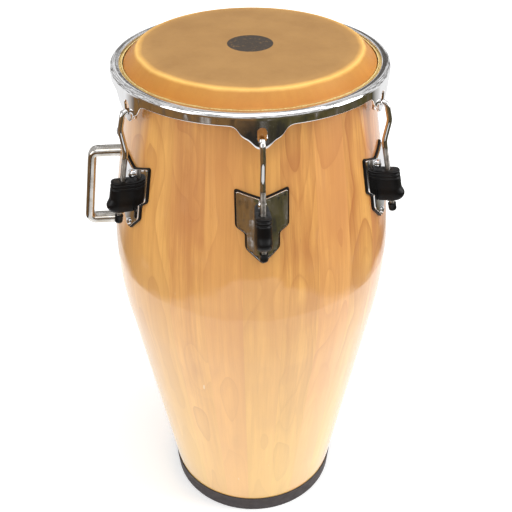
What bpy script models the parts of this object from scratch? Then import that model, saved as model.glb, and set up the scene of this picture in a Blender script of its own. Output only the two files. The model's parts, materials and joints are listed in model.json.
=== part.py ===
"""Conga: a stave-built hand drum whose head is tuned by six hooked rods.

The drum stands on the floor at z = 0, with its axis upright. One lug faces -Y, the others follow
every 60 degrees, and the carrying handle sits between two of them, towards -X. The origin is the
middle of the footprint's box, so the drum's own axis lies a little towards +X. Lengths are metres.
A drop is measured down from the playing face, a standoff out from the shell's outer side.
"""

import math

import bmesh
import bpy
from mathutils import Matrix, Vector

# Clearances and fineness
GAP = 0.0003
ROUND_STEPS = 48
MERGE = 0.00001
LUG_COUNT = 6

# Shell: two straight tapers of staves joined by a bent belly
HEAD_HEIGHT = 0.762
FOOT_RADIUS = 0.1302
BELLY_RADIUS = 0.1975
BELLY_HEIGHT = 0.466
BEND_RADIUS = 0.571
BEND_STEPS = 6
NECK_RADIUS = 0.156
NECK_DROP = 0.007
STAVE_THICKNESS = 0.012

# Rubber ring round the foot
RING_HEIGHT = 0.030
RING_FLOOR_WALL = 0.0041
RING_TOP_WALL = 0.0012
RING_SEAT = 0.004
RING_LEDGE = 0.013
RING_EDGE = 0.0008

# Head: a thick skin with a rounded lip, a 45 degree collar and an upright skirt
SKIN_THICKNESS = 0.0015
LIP_RADIUS = 0.010
LIP_CENTRE_RADIUS = 0.1413
SKIRT_CLEARANCE = 0.0018
SKIRT_DROP = 0.032

# Flesh hoop that the skin's edge is tucked round
HOOP_DROP = 0.025
HOOP_WIRE = 0.0035
TUCK_THICKNESS = 0.0013
TUCK_START = 235.0
TUCK_END = 440.0

# Chrome rim with an ear over each lug; the ear's half outline is in shares of its width and drop
RIM_WALL = 0.003
RIM_PLAY = 0.0036
RIM_CREST = 0.0055
RIM_DEPTH = 0.015
EAR_HALF_WIDTH = 0.034
EAR_DROP = 0.0288
EAR_SHAPE = ((1.0, -0.06), (0.8, 0.25), (0.71, 0.42), (0.5, 0.575), (0.36, 0.73), (0.2, 0.94), (0.08, 1.0))
SLOT_WIDTH = 0.011
SLOT_HEIGHT = 0.0187

# Tension rod: a hook through the ear, a bowed shank and a leaning threaded leg
ROD_RADIUS = 0.0036
ROD_LEAN = math.radians(12.0)
HOOK_DROP = 0.0465
HOOK_PLAY = 0.0019
HOOK_TIP = 0.011
SHOULDER_PLAY = 0.0025
BOW_OUT = 0.0058
BOW_DROP = 0.068
KNEE_DROP = 0.098
KNEE_BEND = 0.0288
BOW_BEND = 0.0216
SHOULDER_BEND = 0.0072
HOOK_BEND = 0.005

# Lug: where the rod's leg enters the cover, and the pieces along that leg
LUG_DROP = 0.1375
LEG_STANDOFF = 0.0181
COVER_LENGTH = 0.041
COVER_FRONT = 0.0155
COVER_HALF_WIDTH = 0.0098
COVER_WALL = 0.002
COVER_LIP = 0.0018
GROOVE_DEPTH = 0.0008
GROOVE_HALF_WIDTH = 0.0011
FIRST_GROOVE = 0.0045
GROOVE_SPACING = 0.005
COVER_FLARE = 0.0032
FLARE_STARTS = 0.45
FLARE_PEAKS = 0.7
FLARE_ENDS = 0.78
BRACKET_PLATE = 0.003
BRACKET_REACH = 0.0075
BRACKET_PLAY = 0.0015
NUT_ACROSS_FLATS = 0.013
NUT_HEIGHT = 0.009
NUT_BEYOND = 0.0025
CAP_DROP = 0.0075
CAP_LENGTH = 0.012
CAP_WALL = 0.0016
CAP_FLOOR = 0.002

# Side plate, a shield with a notch on top, and the rubber gasket under it
PLATE_THICKNESS = 0.002
GASKET_THICKNESS = 0.0025
GASKET_MARGIN = 0.002
PLATE_RISE = 0.023
PLATE_NOTCH = 0.0115
PLATE_HALF_WIDTH = 0.031
PLATE_CORNER = 0.0045
PLATE_WAIST_HALF_WIDTH = 0.0195
PLATE_SIDE = 0.045
PLATE_STEP = 0.0085
PLATE_WAIST = 0.020
PLATE_POINT = 0.020
PLATE_TIP = 0.0028

# Screws through the plates, and what holds them inside the shell
BOLT_RADIUS = 0.003
BOLT_RISE = 0.005
BOLT_HEAD_RADIUS = 0.0055
BOLT_HEAD_HEIGHT = 0.005
SCREW_ABOVE_TIP = 0.0085
SCREW_HEAD_RADIUS = 0.0045
SCREW_HEAD_HEIGHT = 0.0026
HEAD_TAPER = 0.75
RECESS_DEPTH = 0.0015
RECESS_REACH = 0.0032
RECESS_SLIMNESS = 0.25
WASHER_RADIUS = 0.008
WASHER_THICKNESS = 0.0015
INNER_NUT_ACROSS_FLATS = 0.010
INNER_NUT_HEIGHT = 0.005
SHANK_BEYOND_NUT = 0.0006

# Carrying handle
HANDLE_DROP = 0.1445
HANDLE_SPAN = 0.1065
HANDLE_AZIMUTH = -90.0
HANDLE_WIDTH = 0.020
HANDLE_THICKNESS = 0.0125
HANDLE_STANDOFF = 0.0375
HANDLE_INNER_CORNER = 0.007
HANDLE_OUTER_CORNER = 0.010
HANDLE_EDGE = 0.004
HANDLE_SCREW_RADIUS = 0.003
HANDLE_SCREW_BITE = 0.014
HANDLE_SCREW_HEAD_RADIUS = 0.005
HANDLE_SCREW_HEAD_HEIGHT = 0.004


def largest_bend(radius, along):
    """The bend that would reach from the belly to an end this far along, with no straight taper left."""
    fall = BELLY_RADIUS - radius
    return (along**2 + fall**2) / (2 * fall)


def taper_angle(radius, along):
    """The angle at which a straight taper, from an end this far along, meets the belly's bend."""
    across = radius - (BELLY_RADIUS - BEND)
    return math.atan2(along, across) - math.acos(BEND / math.hypot(along, across))


NECK_HEIGHT = HEAD_HEIGHT - NECK_DROP
NECK_RUN = NECK_HEIGHT - BELLY_HEIGHT
BEND_ROOM = min(largest_bend(FOOT_RADIUS, BELLY_HEIGHT), largest_bend(NECK_RADIUS, NECK_RUN))
BEND = min(BEND_RADIUS, BEND_ROOM - MERGE)
FOOT_TAPER = taper_angle(FOOT_RADIUS, BELLY_HEIGHT)
NECK_TAPER = taper_angle(NECK_RADIUS, NECK_RUN)


def arc(centre, radius, start, end, steps):
    """Points of an arc in the (radius, height) plane, angles in degrees from the outward line."""
    return [
        (
            centre[0] + radius * math.cos(math.radians(start + (end - start) * k / steps)),
            centre[1] + radius * math.sin(math.radians(start + (end - start) * k / steps)),
        )
        for k in range(steps + 1)
    ]


def belly():
    """The bent middle of the shell's outer side, from its lower end to its upper end."""
    centre = (BELLY_RADIUS - BEND, BELLY_HEIGHT)
    return arc(centre, BEND, -math.degrees(FOOT_TAPER), math.degrees(NECK_TAPER), BEND_STEPS)


def neck_radius(height):
    """The outer radius on the straight taper above the belly."""
    return NECK_RADIUS + (NECK_HEIGHT - height) * math.tan(NECK_TAPER)


def foot_radius(height):
    """The outer radius on the straight taper below the belly."""
    return FOOT_RADIUS + height * math.tan(FOOT_TAPER)


def shell_radius(height):
    """The outer radius of the faceted shell at any height below its bearing edge."""
    bend = belly()
    if height <= bend[0][1]:
        return foot_radius(height)
    for (r0, z0), (r1, z1) in zip(bend, bend[1:]):
        if height <= z1:
            return r0 + (r1 - r0) * (height - z0) / (z1 - z0)
    return neck_radius(height)


# Heights that follow from the drops
SKIRT_BOTTOM = HEAD_HEIGHT - SKIRT_DROP
HOOP_HEIGHT = HEAD_HEIGHT - HOOP_DROP
HOOK_HEIGHT = HEAD_HEIGHT - HOOK_DROP
BOW_HEIGHT = HEAD_HEIGHT - BOW_DROP
KNEE_HEIGHT = HEAD_HEIGHT - KNEE_DROP
LEG_HEIGHT = HEAD_HEIGHT - LUG_DROP
PLATE_TOP = LEG_HEIGHT + PLATE_RISE
BOLT_HEIGHT = LEG_HEIGHT + BOLT_RISE
SCREW_HEIGHT = PLATE_TOP - PLATE_SIDE - PLATE_STEP - PLATE_WAIST - PLATE_POINT + SCREW_ABOVE_TIP
HANDLE_TOP = HEAD_HEIGHT - HANDLE_DROP
HANDLE_BOTTOM = HANDLE_TOP - HANDLE_SPAN

# Radii that follow from what each piece goes round, from the shell outwards
BEARING_OFFSET = SKIN_THICKNESS + GAP
SKIRT_RADIUS = neck_radius(SKIRT_BOTTOM) + SKIRT_CLEARANCE + SKIN_THICKNESS
TUCK_INSIDE = HOOP_WIRE + GAP
HOOP_RADIUS = SKIRT_RADIUS + GAP + TUCK_THICKNESS + TUCK_INSIDE
TUCK_OUTSIDE = TUCK_INSIDE + TUCK_THICKNESS
RIM_TOP = HOOP_HEIGHT + TUCK_OUTSIDE + 2 * GAP + 1.25 * RIM_WALL
RIM_BOTTOM = RIM_TOP - RIM_DEPTH
RIM_OUTER_RADIUS = HOOP_RADIUS + TUCK_OUTSIDE + RIM_PLAY + RIM_WALL
HOOK_RADIUS = RIM_OUTER_RADIUS - RIM_WALL - HOOK_PLAY - ROD_RADIUS
SHOULDER_RADIUS = RIM_OUTER_RADIUS + SHOULDER_PLAY + ROD_RADIUS
BOW_RADIUS = SHOULDER_RADIUS + BOW_OUT
LEG_RADIUS = shell_radius(LEG_HEIGHT) + LEG_STANDOFF
SECOND_GROOVE = FIRST_GROOVE + GROOVE_SPACING
PLATE_FACE = 2 * GAP + GASKET_THICKNESS + PLATE_THICKNESS
LUG_ANGLES = [360.0 * k / LUG_COUNT for k in range(LUG_COUNT)]


def start_clean():
    """Remove what the scene holds and make the two collections."""
    for obj in list(bpy.data.objects):
        bpy.data.objects.remove(obj, do_unlink=True)
    made = []
    for name in ("conga", "cutters"):
        collection = bpy.data.collections.new(name)
        bpy.context.scene.collection.children.link(collection)
        made.append(collection)
    return made


PARTS, CUTTERS = start_clean()
DRUM = bpy.data.objects.new("drum_axis", None)
PARTS.objects.link(DRUM)


def material(name, colour, roughness, metallic=0.0):
    """A plain Principled material."""
    made = bpy.data.materials.new(name)
    made.use_nodes = True
    shader = made.node_tree.nodes["Principled BSDF"]
    shader.inputs["Base Color"].default_value = (*colour, 1.0)
    shader.inputs["Roughness"].default_value = roughness
    shader.inputs["Metallic"].default_value = metallic
    return made


LACQUERED_WOOD = material("lacquered_wood", (0.72, 0.42, 0.18), 0.25)
HIDE = material("hide", (0.62, 0.42, 0.2), 0.5)
CHROME = material("chrome", (0.8, 0.8, 0.8), 0.1, 1.0)
STEEL = material("steel", (0.55, 0.55, 0.56), 0.4, 1.0)
BLACK_RUBBER = material("black_rubber", (0.02, 0.02, 0.022), 0.6)


def link(name, data, finish=None):
    """Put mesh or curve data in the parts' collection, riding on the drum's axis."""
    obj = bpy.data.objects.new(name, data)
    PARTS.objects.link(obj)
    obj.parent = DRUM
    if finish:
        data.materials.clear()
        data.materials.append(finish)
    return obj


def as_cutter(obj):
    """Move an object to the cutters' collection, drawn as wires."""
    PARTS.objects.unlink(obj)
    CUTTERS.objects.link(obj)
    obj.hide_render = True
    obj.display_type = "WIRE"
    return obj


def bake(obj):
    """Replace an object's mesh, or its curve, with what its modifiers make of it."""
    bpy.context.view_layer.update()
    graph = bpy.context.evaluated_depsgraph_get()
    mesh = bpy.data.meshes.new_from_object(obj.evaluated_get(graph))
    weld(mesh)
    mesh.name = obj.name
    obj.modifiers.clear()
    if obj.type == "MESH":
        obj.data = mesh
        return obj
    made = bpy.data.objects.new(obj.name, mesh)
    PARTS.objects.link(made)
    made.parent = DRUM
    made.matrix_world = obj.matrix_world
    name = obj.name
    bpy.data.objects.remove(obj, do_unlink=True)
    made.name = name
    return made


def weld(mesh):
    """Join the loose caps of a converted curve to its sides."""
    work = bmesh.new()
    work.from_mesh(mesh)
    bmesh.ops.remove_doubles(work, verts=work.verts, dist=MERGE)
    work.to_mesh(mesh)
    work.free()


def smooth(obj, angle=35.0):
    """Shade a round piece smooth, with its real edges kept."""
    obj.data.shade_smooth()
    obj.data.set_sharp_from_angle(angle=math.radians(angle))
    return obj


def boolean(obj, other, operation):
    """Cut, join or intersect one object with another."""
    modifier = obj.modifiers.new(operation.lower(), "BOOLEAN")
    modifier.operation = operation
    modifier.solver = "EXACT"
    modifier.object = other
    return modifier


def place(radius, across, height, azimuth=0.0):
    """A point at a distance from the drum's axis; across runs to the right, seen from outside."""
    a = math.radians(azimuth)
    return Vector(
        (
            radius * math.sin(a) + across * math.cos(a),
            -radius * math.cos(a) + across * math.sin(a),
            height,
        )
    )


def turned(name, profile, finish=None):
    """Turn a closed outline of (radius, height) points round the drum's axis, outer side first."""
    mesh = bpy.data.meshes.new(name)
    count = len(profile)
    edges = [(k, (k + 1) % count) for k in range(count)]
    mesh.from_pydata([(r, 0.0, z) for r, z in profile], edges, [])
    return screw(link(name, mesh, finish))


def turned_open(name, profile, finish=None):
    """Turn an outline that starts and ends on the drum's axis, from its top to its bottom."""
    mesh = bpy.data.meshes.new(name)
    edges = [(k, k + 1) for k in range(len(profile) - 1)]
    mesh.from_pydata([(r, 0.0, z) for r, z in profile], edges, [])
    return screw(link(name, mesh, finish))


def turned_on_leg(name, profile, steps, finish=None):
    """Turn an outline of (radius, distance down the leg) points, from axis to axis, round the leg."""
    mesh = bpy.data.meshes.new(name)
    edges = [(k, k + 1) for k in range(len(profile) - 1)]
    mesh.from_pydata([(r, 0.0, -down) for r, down in profile], edges, [])
    obj = screw(link(name, mesh, finish), steps)
    obj.matrix_local = Matrix.Translation(on_leg(0.0)) @ Matrix.Rotation(-ROD_LEAN, 4, "X")
    return bake(obj)


def screw(obj, steps=ROUND_STEPS):
    """Turn an object's outline a full circle about its own upright axis."""
    modifier = obj.modifiers.new("turn", "SCREW")
    modifier.steps = steps
    modifier.render_steps = steps
    modifier.use_merge_vertices = True
    modifier.merge_threshold = MERGE
    modifier.use_smooth_shade = True
    return obj


def collar_radius(height, offset):
    """The radius of the collar's 45 degree slope, this far inside the skin's outer face."""
    lip_height = HEAD_HEIGHT - LIP_RADIUS
    reach = LIP_CENTRE_RADIUS + lip_height + math.sqrt(2.0) * (LIP_RADIUS - offset)
    return reach - height


def lip(offset, steps=3):
    """The rounded lip, this far inside the skin's outer face, from its top to the slope."""
    centre = (LIP_CENTRE_RADIUS, HEAD_HEIGHT - LIP_RADIUS)
    return arc(centre, LIP_RADIUS - offset, 90.0, 45.0, steps)


def band(name, inner, outer, low, high):
    """A ring that follows the shell's outer side, between two distances from it."""
    stations = [high] + [z for _, z in reversed(belly()) if low < z < high] + [low]
    outside = [(shell_radius(z) + outer, z) for z in stations]
    inside = [(shell_radius(z) + inner, z) for z in reversed(stations)]
    return turned(name, outside + inside)


def outline_block(name, outline, near, far):
    """Extrude an outline of (across, height) points along -Y, from one radius to another."""
    curve = bpy.data.curves.new(name, "CURVE")
    curve.dimensions = "2D"
    curve.fill_mode = "BOTH"
    curve.extrude = (far - near) / 2
    spline = curve.splines.new("POLY")
    spline.points.add(len(outline) - 1)
    for point, (x, z) in zip(spline.points, outline):
        point.co = (x, z, 0.0, 1.0)
    spline.use_cyclic_u = True
    obj = link(name, curve)
    obj.rotation_euler = (math.radians(90.0), 0.0, 0.0)
    obj.location = (0.0, -(near + far) / 2, 0.0)
    return bake(obj)


def side_block(name, outline, width, finish=None):
    """Extrude an outline of (radius, height) points sideways, centred on the lug's plane."""
    curve = bpy.data.curves.new(name, "CURVE")
    curve.dimensions = "2D"
    curve.fill_mode = "BOTH"
    curve.extrude = width / 2
    spline = curve.splines.new("POLY")
    spline.points.add(len(outline) - 1)
    for point, (r, z) in zip(spline.points, outline):
        point.co = (r, z, 0.0, 1.0)
    spline.use_cyclic_u = True
    obj = link(name, curve, finish)
    obj.matrix_world = Matrix(((0, 0, -1, 0), (-1, 0, 0, 0), (0, 1, 0, 0), (0, 0, 0, 1)))
    return bake(obj)


def rod_between(name, start, end, radius, sides=12, finish=None, end_radius=None):
    """A round or many-sided bar between two points, as a mesh."""
    axis = Vector(end) - Vector(start)
    mesh = bpy.data.meshes.new(name)
    work = bmesh.new()
    bmesh.ops.create_cone(
        work,
        cap_ends=True,
        segments=sides,
        radius1=radius,
        radius2=radius if end_radius is None else end_radius,
        depth=axis.length,
    )
    turn = axis.to_track_quat("Z", "Y").to_matrix().to_4x4()
    bmesh.ops.transform(
        work, verts=work.verts, matrix=Matrix.Translation((Vector(start) + Vector(end)) / 2) @ turn
    )
    work.to_mesh(mesh)
    work.free()
    return link(name, mesh, finish)


def joined(name, objects):
    """Several closed bodies as one object, for a cutter."""
    mesh = bpy.data.meshes.new(name)
    work = bmesh.new()
    for obj in objects:
        bpy.context.view_layer.update()
        copy = obj.data.copy()
        copy.transform(DRUM.matrix_world.inverted() @ obj.matrix_world)
        work.from_mesh(copy)
        bpy.data.meshes.remove(copy)
        bpy.data.objects.remove(obj, do_unlink=True)
    work.to_mesh(mesh)
    work.free()
    return link(name, mesh)


def on_each_lug(name, pattern, origin=(0.0, 0.0, 0.0)):
    """One object for each lug, sharing the first one's mesh; the origin is a point on its axis."""
    pattern.data.transform(Matrix.Translation(-Vector(origin)) @ pattern.matrix_local)
    for number, angle in enumerate(LUG_ANGLES, start=1):
        copy = link(f"{name}_{number}", pattern.data)
        turn = Matrix.Rotation(math.radians(angle), 4, "Z")
        copy.matrix_local = turn @ Matrix.Translation(origin)
    bpy.data.objects.remove(pattern, do_unlink=True)


def round_the_lugs(name, pattern):
    """A cutter with one copy of a shape at each lug."""
    copies = []
    for angle in LUG_ANGLES:
        copy = link(name, pattern.data.copy())
        copy.matrix_local = Matrix.Rotation(math.radians(angle), 4, "Z") @ pattern.matrix_local
        copies.append(copy)
    bpy.data.objects.remove(pattern, do_unlink=True)
    return joined(name, copies)


def leg_point(outward, down):
    """(radius, height) of a point beside the rod's leaning leg: across it, then along it."""
    return (
        LEG_RADIUS + outward * math.cos(ROD_LEAN) + down * math.sin(ROD_LEAN),
        LEG_HEIGHT + outward * math.sin(ROD_LEAN) - down * math.cos(ROD_LEAN),
    )


def on_leg(down):
    """A point on the leg's own centre line, in the first lug's plane."""
    r, z = leg_point(0.0, down)
    return place(r, 0.0, z)


def rounded_path(corners, radii, step=20.0):
    """A path of straight legs whose corners are rounded to the bend radii given."""
    points = [Vector(corners[0])]
    for before, corner, after, radius in zip(corners, corners[1:], corners[2:], radii):
        corner = Vector(corner)
        a = (Vector(before) - corner).normalized()
        b = (Vector(after) - corner).normalized()
        half = a.angle(b) / 2
        centre = corner + (a + b).normalized() * radius / math.sin(half)
        start = corner + a * radius / math.tan(half) - centre
        end = corner + b * radius / math.tan(half) - centre
        turn = start.angle(end)
        count = max(2, math.ceil(math.degrees(turn) / step))
        for k in range(count + 1):
            share = k / count
            swing = (math.sin((1 - share) * turn) * start + math.sin(share * turn) * end) / math.sin(turn)
            points.append(centre + swing)
    points.append(Vector(corners[-1]))
    return points


def wire(name, points, radius, finish=None):
    """A bar of round section along a path."""
    curve = bpy.data.curves.new(name, "CURVE")
    curve.dimensions = "3D"
    curve.bevel_depth = radius
    curve.bevel_resolution = 2
    curve.use_fill_caps = True
    spline = curve.splines.new("POLY")
    spline.points.add(len(points) - 1)
    for target, point in zip(spline.points, points):
        target.co = (*point, 1.0)
    return bake(link(name, curve, finish))


def through_shell(height):
    """Where a fastener crosses the shell's outer side, and the outward direction it points in."""
    run = STAVE_THICKNESS
    lean = math.atan2(shell_radius(height - run) - shell_radius(height + run), 2 * run)
    outward = place(math.cos(lean), 0.0, math.sin(lean))
    return place(shell_radius(height), 0.0, height), outward


def rise_over(height, reach, offset):
    """How far a face that follows the shell rises past a fastener's point, within reach of it."""
    point, outward = through_shell(height)
    heights = [height - reach, height + reach] + [z for _, z in belly() if abs(z - height) < reach]
    return max((place(shell_radius(z) + offset, 0.0, z) - point).dot(outward) for z in heights)


def fall_under(height, reach):
    """How deep a washer's face must be to clear the shell's hollow side, all over its reach."""
    point, outward = through_shell(height)
    heights = [height - reach, height, height + reach]
    deepest = min((place(shell_radius(z) - STAVE_THICKNESS, 0.0, z) - point).dot(outward) for z in heights)
    return flat_sag(reach) - deepest


def flat_sag(reach):
    """How far the shell's facets fall away from a corner between them, at this distance."""
    return reach * math.tan(math.pi / ROUND_STEPS)


def make_shell():
    """The staves, glued into one body, with the bearing edge on top and the screw holes."""
    bearing = lip(BEARING_OFFSET)
    inner_top = neck_radius(HEAD_HEIGHT) - STAVE_THICKNESS
    crossing = collar_radius(NECK_HEIGHT, BEARING_OFFSET)
    slope = math.tan(NECK_TAPER)
    shoulder = (NECK_RADIUS - crossing) / (1.0 - slope)
    shoulder_height = NECK_HEIGHT - shoulder
    centre_height = HEAD_HEIGHT - LIP_RADIUS
    edge_radius = LIP_RADIUS - BEARING_OFFSET
    edge_run = max(inner_top - LIP_CENTRE_RADIUS, 0.0)
    edge_height = centre_height + math.sqrt(edge_radius**2 - edge_run**2)
    outer = [(inner_top, edge_height)]
    outer += [point for point in bearing if point[0] > inner_top]
    outer += [(neck_radius(shoulder_height), shoulder_height)]
    outer += list(reversed(belly()))
    outer += [(foot_radius(RING_SEAT + GAP), RING_SEAT + GAP)]
    inner = [(foot_radius(RING_SEAT + GAP) - STAVE_THICKNESS, RING_SEAT + GAP)]
    inner += [(r - STAVE_THICKNESS, z) for r, z in belly()]
    shell = turned("shell", outer + inner, LACQUERED_WOOD)
    holes = []
    for height, radius in ((BOLT_HEIGHT, BOLT_RADIUS), (SCREW_HEIGHT, BOLT_RADIUS)):
        point, outward = through_shell(height)
        reach = 2 * STAVE_THICKNESS
        hole = rod_between("hole", point + outward * reach, point - outward * reach, radius + GAP)
        holes.append(round_the_lugs("lug_holes", hole))
    for height in (HANDLE_TOP, HANDLE_BOTTOM):
        near = place(shell_radius(height) + STAVE_THICKNESS, 0.0, height, HANDLE_AZIMUTH)
        far = place(shell_radius(height) - 2 * STAVE_THICKNESS, 0.0, height, HANDLE_AZIMUTH)
        holes.append(rod_between("handle_hole", near, far, HANDLE_SCREW_RADIUS + GAP))
    boolean(shell, as_cutter(joined("shell_holes", holes)), "DIFFERENCE")
    return smooth(bake(shell))


def make_bottom_ring():
    """The rubber ring: it hugs the foot's outer side and turns in under the staves."""
    edge = RING_EDGE
    top_radius = foot_radius(RING_HEIGHT) + GAP + RING_TOP_WALL
    outer = arc((top_radius - edge, RING_HEIGHT - edge), edge, 90.0, 0.0, 2)
    outer += arc((FOOT_RADIUS + RING_FLOOR_WALL - edge, edge), edge, 0.0, -90.0, 2)
    ledge = foot_radius(RING_SEAT) - RING_LEDGE
    inner = [(ledge, 0.0), (ledge, RING_SEAT)]
    inner += [(foot_radius(RING_SEAT) + GAP, RING_SEAT), (foot_radius(RING_HEIGHT) + GAP, RING_HEIGHT)]
    return smooth(bake(turned("bottom_ring", outer + inner, BLACK_RUBBER)))


def make_head():
    """The skin: a flat playing face, a rounded lip, a sloping collar and a skirt inside the hoop."""
    bend = collar_radius(0.0, 0.0) - SKIRT_RADIUS
    outer = [(0.0, HEAD_HEIGHT)] + lip(0.0) + [(SKIRT_RADIUS, bend), (SKIRT_RADIUS, SKIRT_BOTTOM)]
    inside = SKIRT_RADIUS - SKIN_THICKNESS
    inner_bend = collar_radius(0.0, SKIN_THICKNESS) - inside
    inner = [(inside, SKIRT_BOTTOM), (inside, inner_bend)] + list(reversed(lip(SKIN_THICKNESS)))
    inner += [(0.0, HEAD_HEIGHT - SKIN_THICKNESS)]
    return smooth(bake(turned_open("head_skin", outer + inner, HIDE)))


def make_hoop():
    """The flesh hoop, a steel ring, with the skin's edge tucked round it."""
    centre = (HOOP_RADIUS, HOOP_HEIGHT)
    ring = arc(centre, HOOP_WIRE, 90.0, -270.0, 6)[:-1]
    hoop = bake(turned("flesh_hoop", ring, STEEL))
    outer = arc(centre, TUCK_OUTSIDE, TUCK_END, TUCK_START, 5)
    inner = arc(centre, TUCK_INSIDE, TUCK_START, TUCK_END, 5)
    tuck = bake(turned("head_skin_tuck", outer + inner, HIDE))
    return smooth(hoop), smooth(tuck)


def ear_outline():
    """An ogee on each side, stepping down from the rim's edge to a rounded lobe: (across, height)."""
    right = [(EAR_HALF_WIDTH * x, RIM_BOTTOM - EAR_DROP * drop) for x, drop in EAR_SHAPE]
    top = RIM_BOTTOM + RIM_WALL
    left = [(-x, z) for x, z in reversed(right)]
    return [(EAR_HALF_WIDTH, top)] + right + left + [(-EAR_HALF_WIDTH, top)]


def slot_height():
    """The middle of the ear's slot, whose lower end carries the hook."""
    return HOOK_HEIGHT - ROD_RADIUS - GAP + SLOT_HEIGHT / 2


def slot_outline():
    """A slot with round ends: (across, height)."""
    end = SLOT_WIDTH / 2
    rise = SLOT_HEIGHT / 2 - end
    middle = slot_height()
    above = arc((0.0, middle + rise), end, 0.0, 180.0, 6)
    below = arc((0.0, middle - rise), end, 180.0, 360.0, 6)
    return above + below


def make_rim():
    """A pressed steel ring with a rolled crest, and an ear with a slot over each lug."""
    outside, wall = RIM_OUTER_RADIUS, RIM_WALL
    low = RIM_BOTTOM - EAR_DROP - wall
    crest = (outside - RIM_CREST, RIM_TOP - RIM_CREST)
    brow = (HOOP_RADIUS + wall / 2, RIM_TOP - wall)
    profile = arc(brow, wall / 2, 180.0, 90.0, 2) + arc(crest, RIM_CREST, 90.0, 0.0, 3)
    profile += [(outside, low), (outside - wall, low)]
    profile += arc(crest, RIM_CREST - wall, 0.0, 90.0, 2) + [(brow[0], RIM_TOP - wall - wall / 4)]
    rim = turned("rim", profile, CHROME)
    near, far = outside - 2 * wall, outside + wall
    beyond = 2 * wall
    under = low - wall
    waste = turned("between_ears", [(far, RIM_BOTTOM), (far, under), (near, under), (near, RIM_BOTTOM)])
    ear = outline_block("ear_shape", ear_outline(), near - beyond, far + beyond)
    ears = round_the_lugs("ear_shapes", ear)
    boolean(waste, as_cutter(ears), "DIFFERENCE")
    boolean(rim, as_cutter(bake(waste)), "DIFFERENCE")
    slots = round_the_lugs("ear_slots", outline_block("ear_slot", slot_outline(), near, far))
    boolean(rim, as_cutter(slots), "DIFFERENCE")
    return smooth(bake(rim))


def plate_outline(margin):
    """The shield of the side plate, grown by a margin: (across, height), from the notch round."""
    step_top = PLATE_TOP - PLATE_SIDE
    waist_top = step_top - PLATE_STEP
    point_top = waist_top - PLATE_WAIST
    left = [
        (-PLATE_TIP, point_top - PLATE_POINT),
        (-PLATE_WAIST_HALF_WIDTH, point_top),
        (-PLATE_WAIST_HALF_WIDTH, waist_top),
        (-PLATE_HALF_WIDTH, step_top),
        (-PLATE_HALF_WIDTH, PLATE_TOP - PLATE_CORNER),
        (-PLATE_HALF_WIDTH + PLATE_CORNER, PLATE_TOP),
    ]
    notch = [(0.0, PLATE_TOP - PLATE_NOTCH)]
    return grown(left + notch + [(-x, z) for x, z in reversed(left)], margin)


def grown(outline, margin):
    """An outline that runs clockwise, with every side moved out by a margin."""
    points = [Vector(point) for point in outline]
    made = []
    for before, point, after in zip(points[-1:] + points[:-1], points, points[1:] + points[:1]):
        a = (point - before).normalized()
        b = (after - point).normalized()
        out = Vector((-a.y - b.y, a.x + b.x)) / (1.0 + a.dot(b))
        made.append(tuple(point + out * margin))
    return made


def seat_cutter(name, face):
    """Everything inside a face that follows the shell, this far out from its outer side."""
    low = leg_point(0.0, 2 * COVER_LENGTH)[1]
    high = leg_point(0.0, -COVER_LENGTH)[1]
    return as_cutter(band(name, -STAVE_THICKNESS, face, low, high))


def bracket_low():
    """How far down the leg the bracket's lower flange ends, just above the nut."""
    return COVER_LENGTH + NUT_BEYOND - NUT_HEIGHT - GAP


def make_bracket():
    """The steel channel that is welded to each side plate: the rod runs through both flanges."""
    top = COVER_WALL + GAP
    low = bracket_low()
    back = shell_radius(LEG_HEIGHT) - LEG_RADIUS
    web = PLATE_FACE + BRACKET_PLATE - (LEG_RADIUS - shell_radius(LEG_HEIGHT))
    sides = [
        (back, top),
        (BRACKET_REACH, top),
        (BRACKET_REACH, top + BRACKET_PLATE),
        (web, top + BRACKET_PLATE),
        (web, low - BRACKET_PLATE),
        (BRACKET_REACH, low - BRACKET_PLATE),
        (BRACKET_REACH, low),
        (back, low),
    ]
    width = 2 * (COVER_HALF_WIDTH - COVER_WALL - BRACKET_PLAY)
    bracket = side_block("lug_bracket", [leg_point(n, w) for n, w in sides], width)
    weld_face = PLATE_FACE - PLATE_THICKNESS / 2
    boolean(bracket, seat_cutter("weld_seat", weld_face), "DIFFERENCE")
    return as_cutter(bake(bracket))


def make_side_plates():
    """The gasket and the chrome plate of every lug, both bent to the shell."""
    low = PLATE_TOP - PLATE_SIDE - PLATE_STEP - PLATE_WAIST - 2 * PLATE_POINT
    high = PLATE_TOP + PLATE_POINT
    near, far = shell_radius(high) - STAVE_THICKNESS, shell_radius(low) + STAVE_THICKNESS
    holes = []
    for height in (BOLT_HEIGHT, SCREW_HEIGHT):
        point, outward = through_shell(height)
        start, end = point - outward * STAVE_THICKNESS, point + outward * STAVE_THICKNESS
        holes.append(rod_between("plate_hole", start, end, BOLT_RADIUS + GAP))
    holes = as_cutter(joined("plate_holes", holes))
    bore = rod_between("bracket_bore", on_leg(-COVER_WALL), on_leg(COVER_LENGTH), ROD_RADIUS + 2 * GAP)
    as_cutter(bore)
    layers = (
        ("plate_gasket", GAP, GASKET_THICKNESS, GASKET_MARGIN, BLACK_RUBBER),
        ("side_plate", 2 * GAP + GASKET_THICKNESS, PLATE_THICKNESS, 0.0, CHROME),
    )
    for name, start, thickness, margin, finish in layers:
        sheet = band(name, start, start + thickness, low, high)
        sheet.data.materials.append(finish)
        shape = as_cutter(outline_block(f"{name}_shape", plate_outline(margin), near, far))
        boolean(sheet, shape, "INTERSECT")
        boolean(sheet, holes, "DIFFERENCE")
        if name == "side_plate":
            boolean(sheet, make_bracket(), "UNION")
            boolean(sheet, bore, "DIFFERENCE")
        on_each_lug(name, smooth(bake(sheet)))


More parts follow.
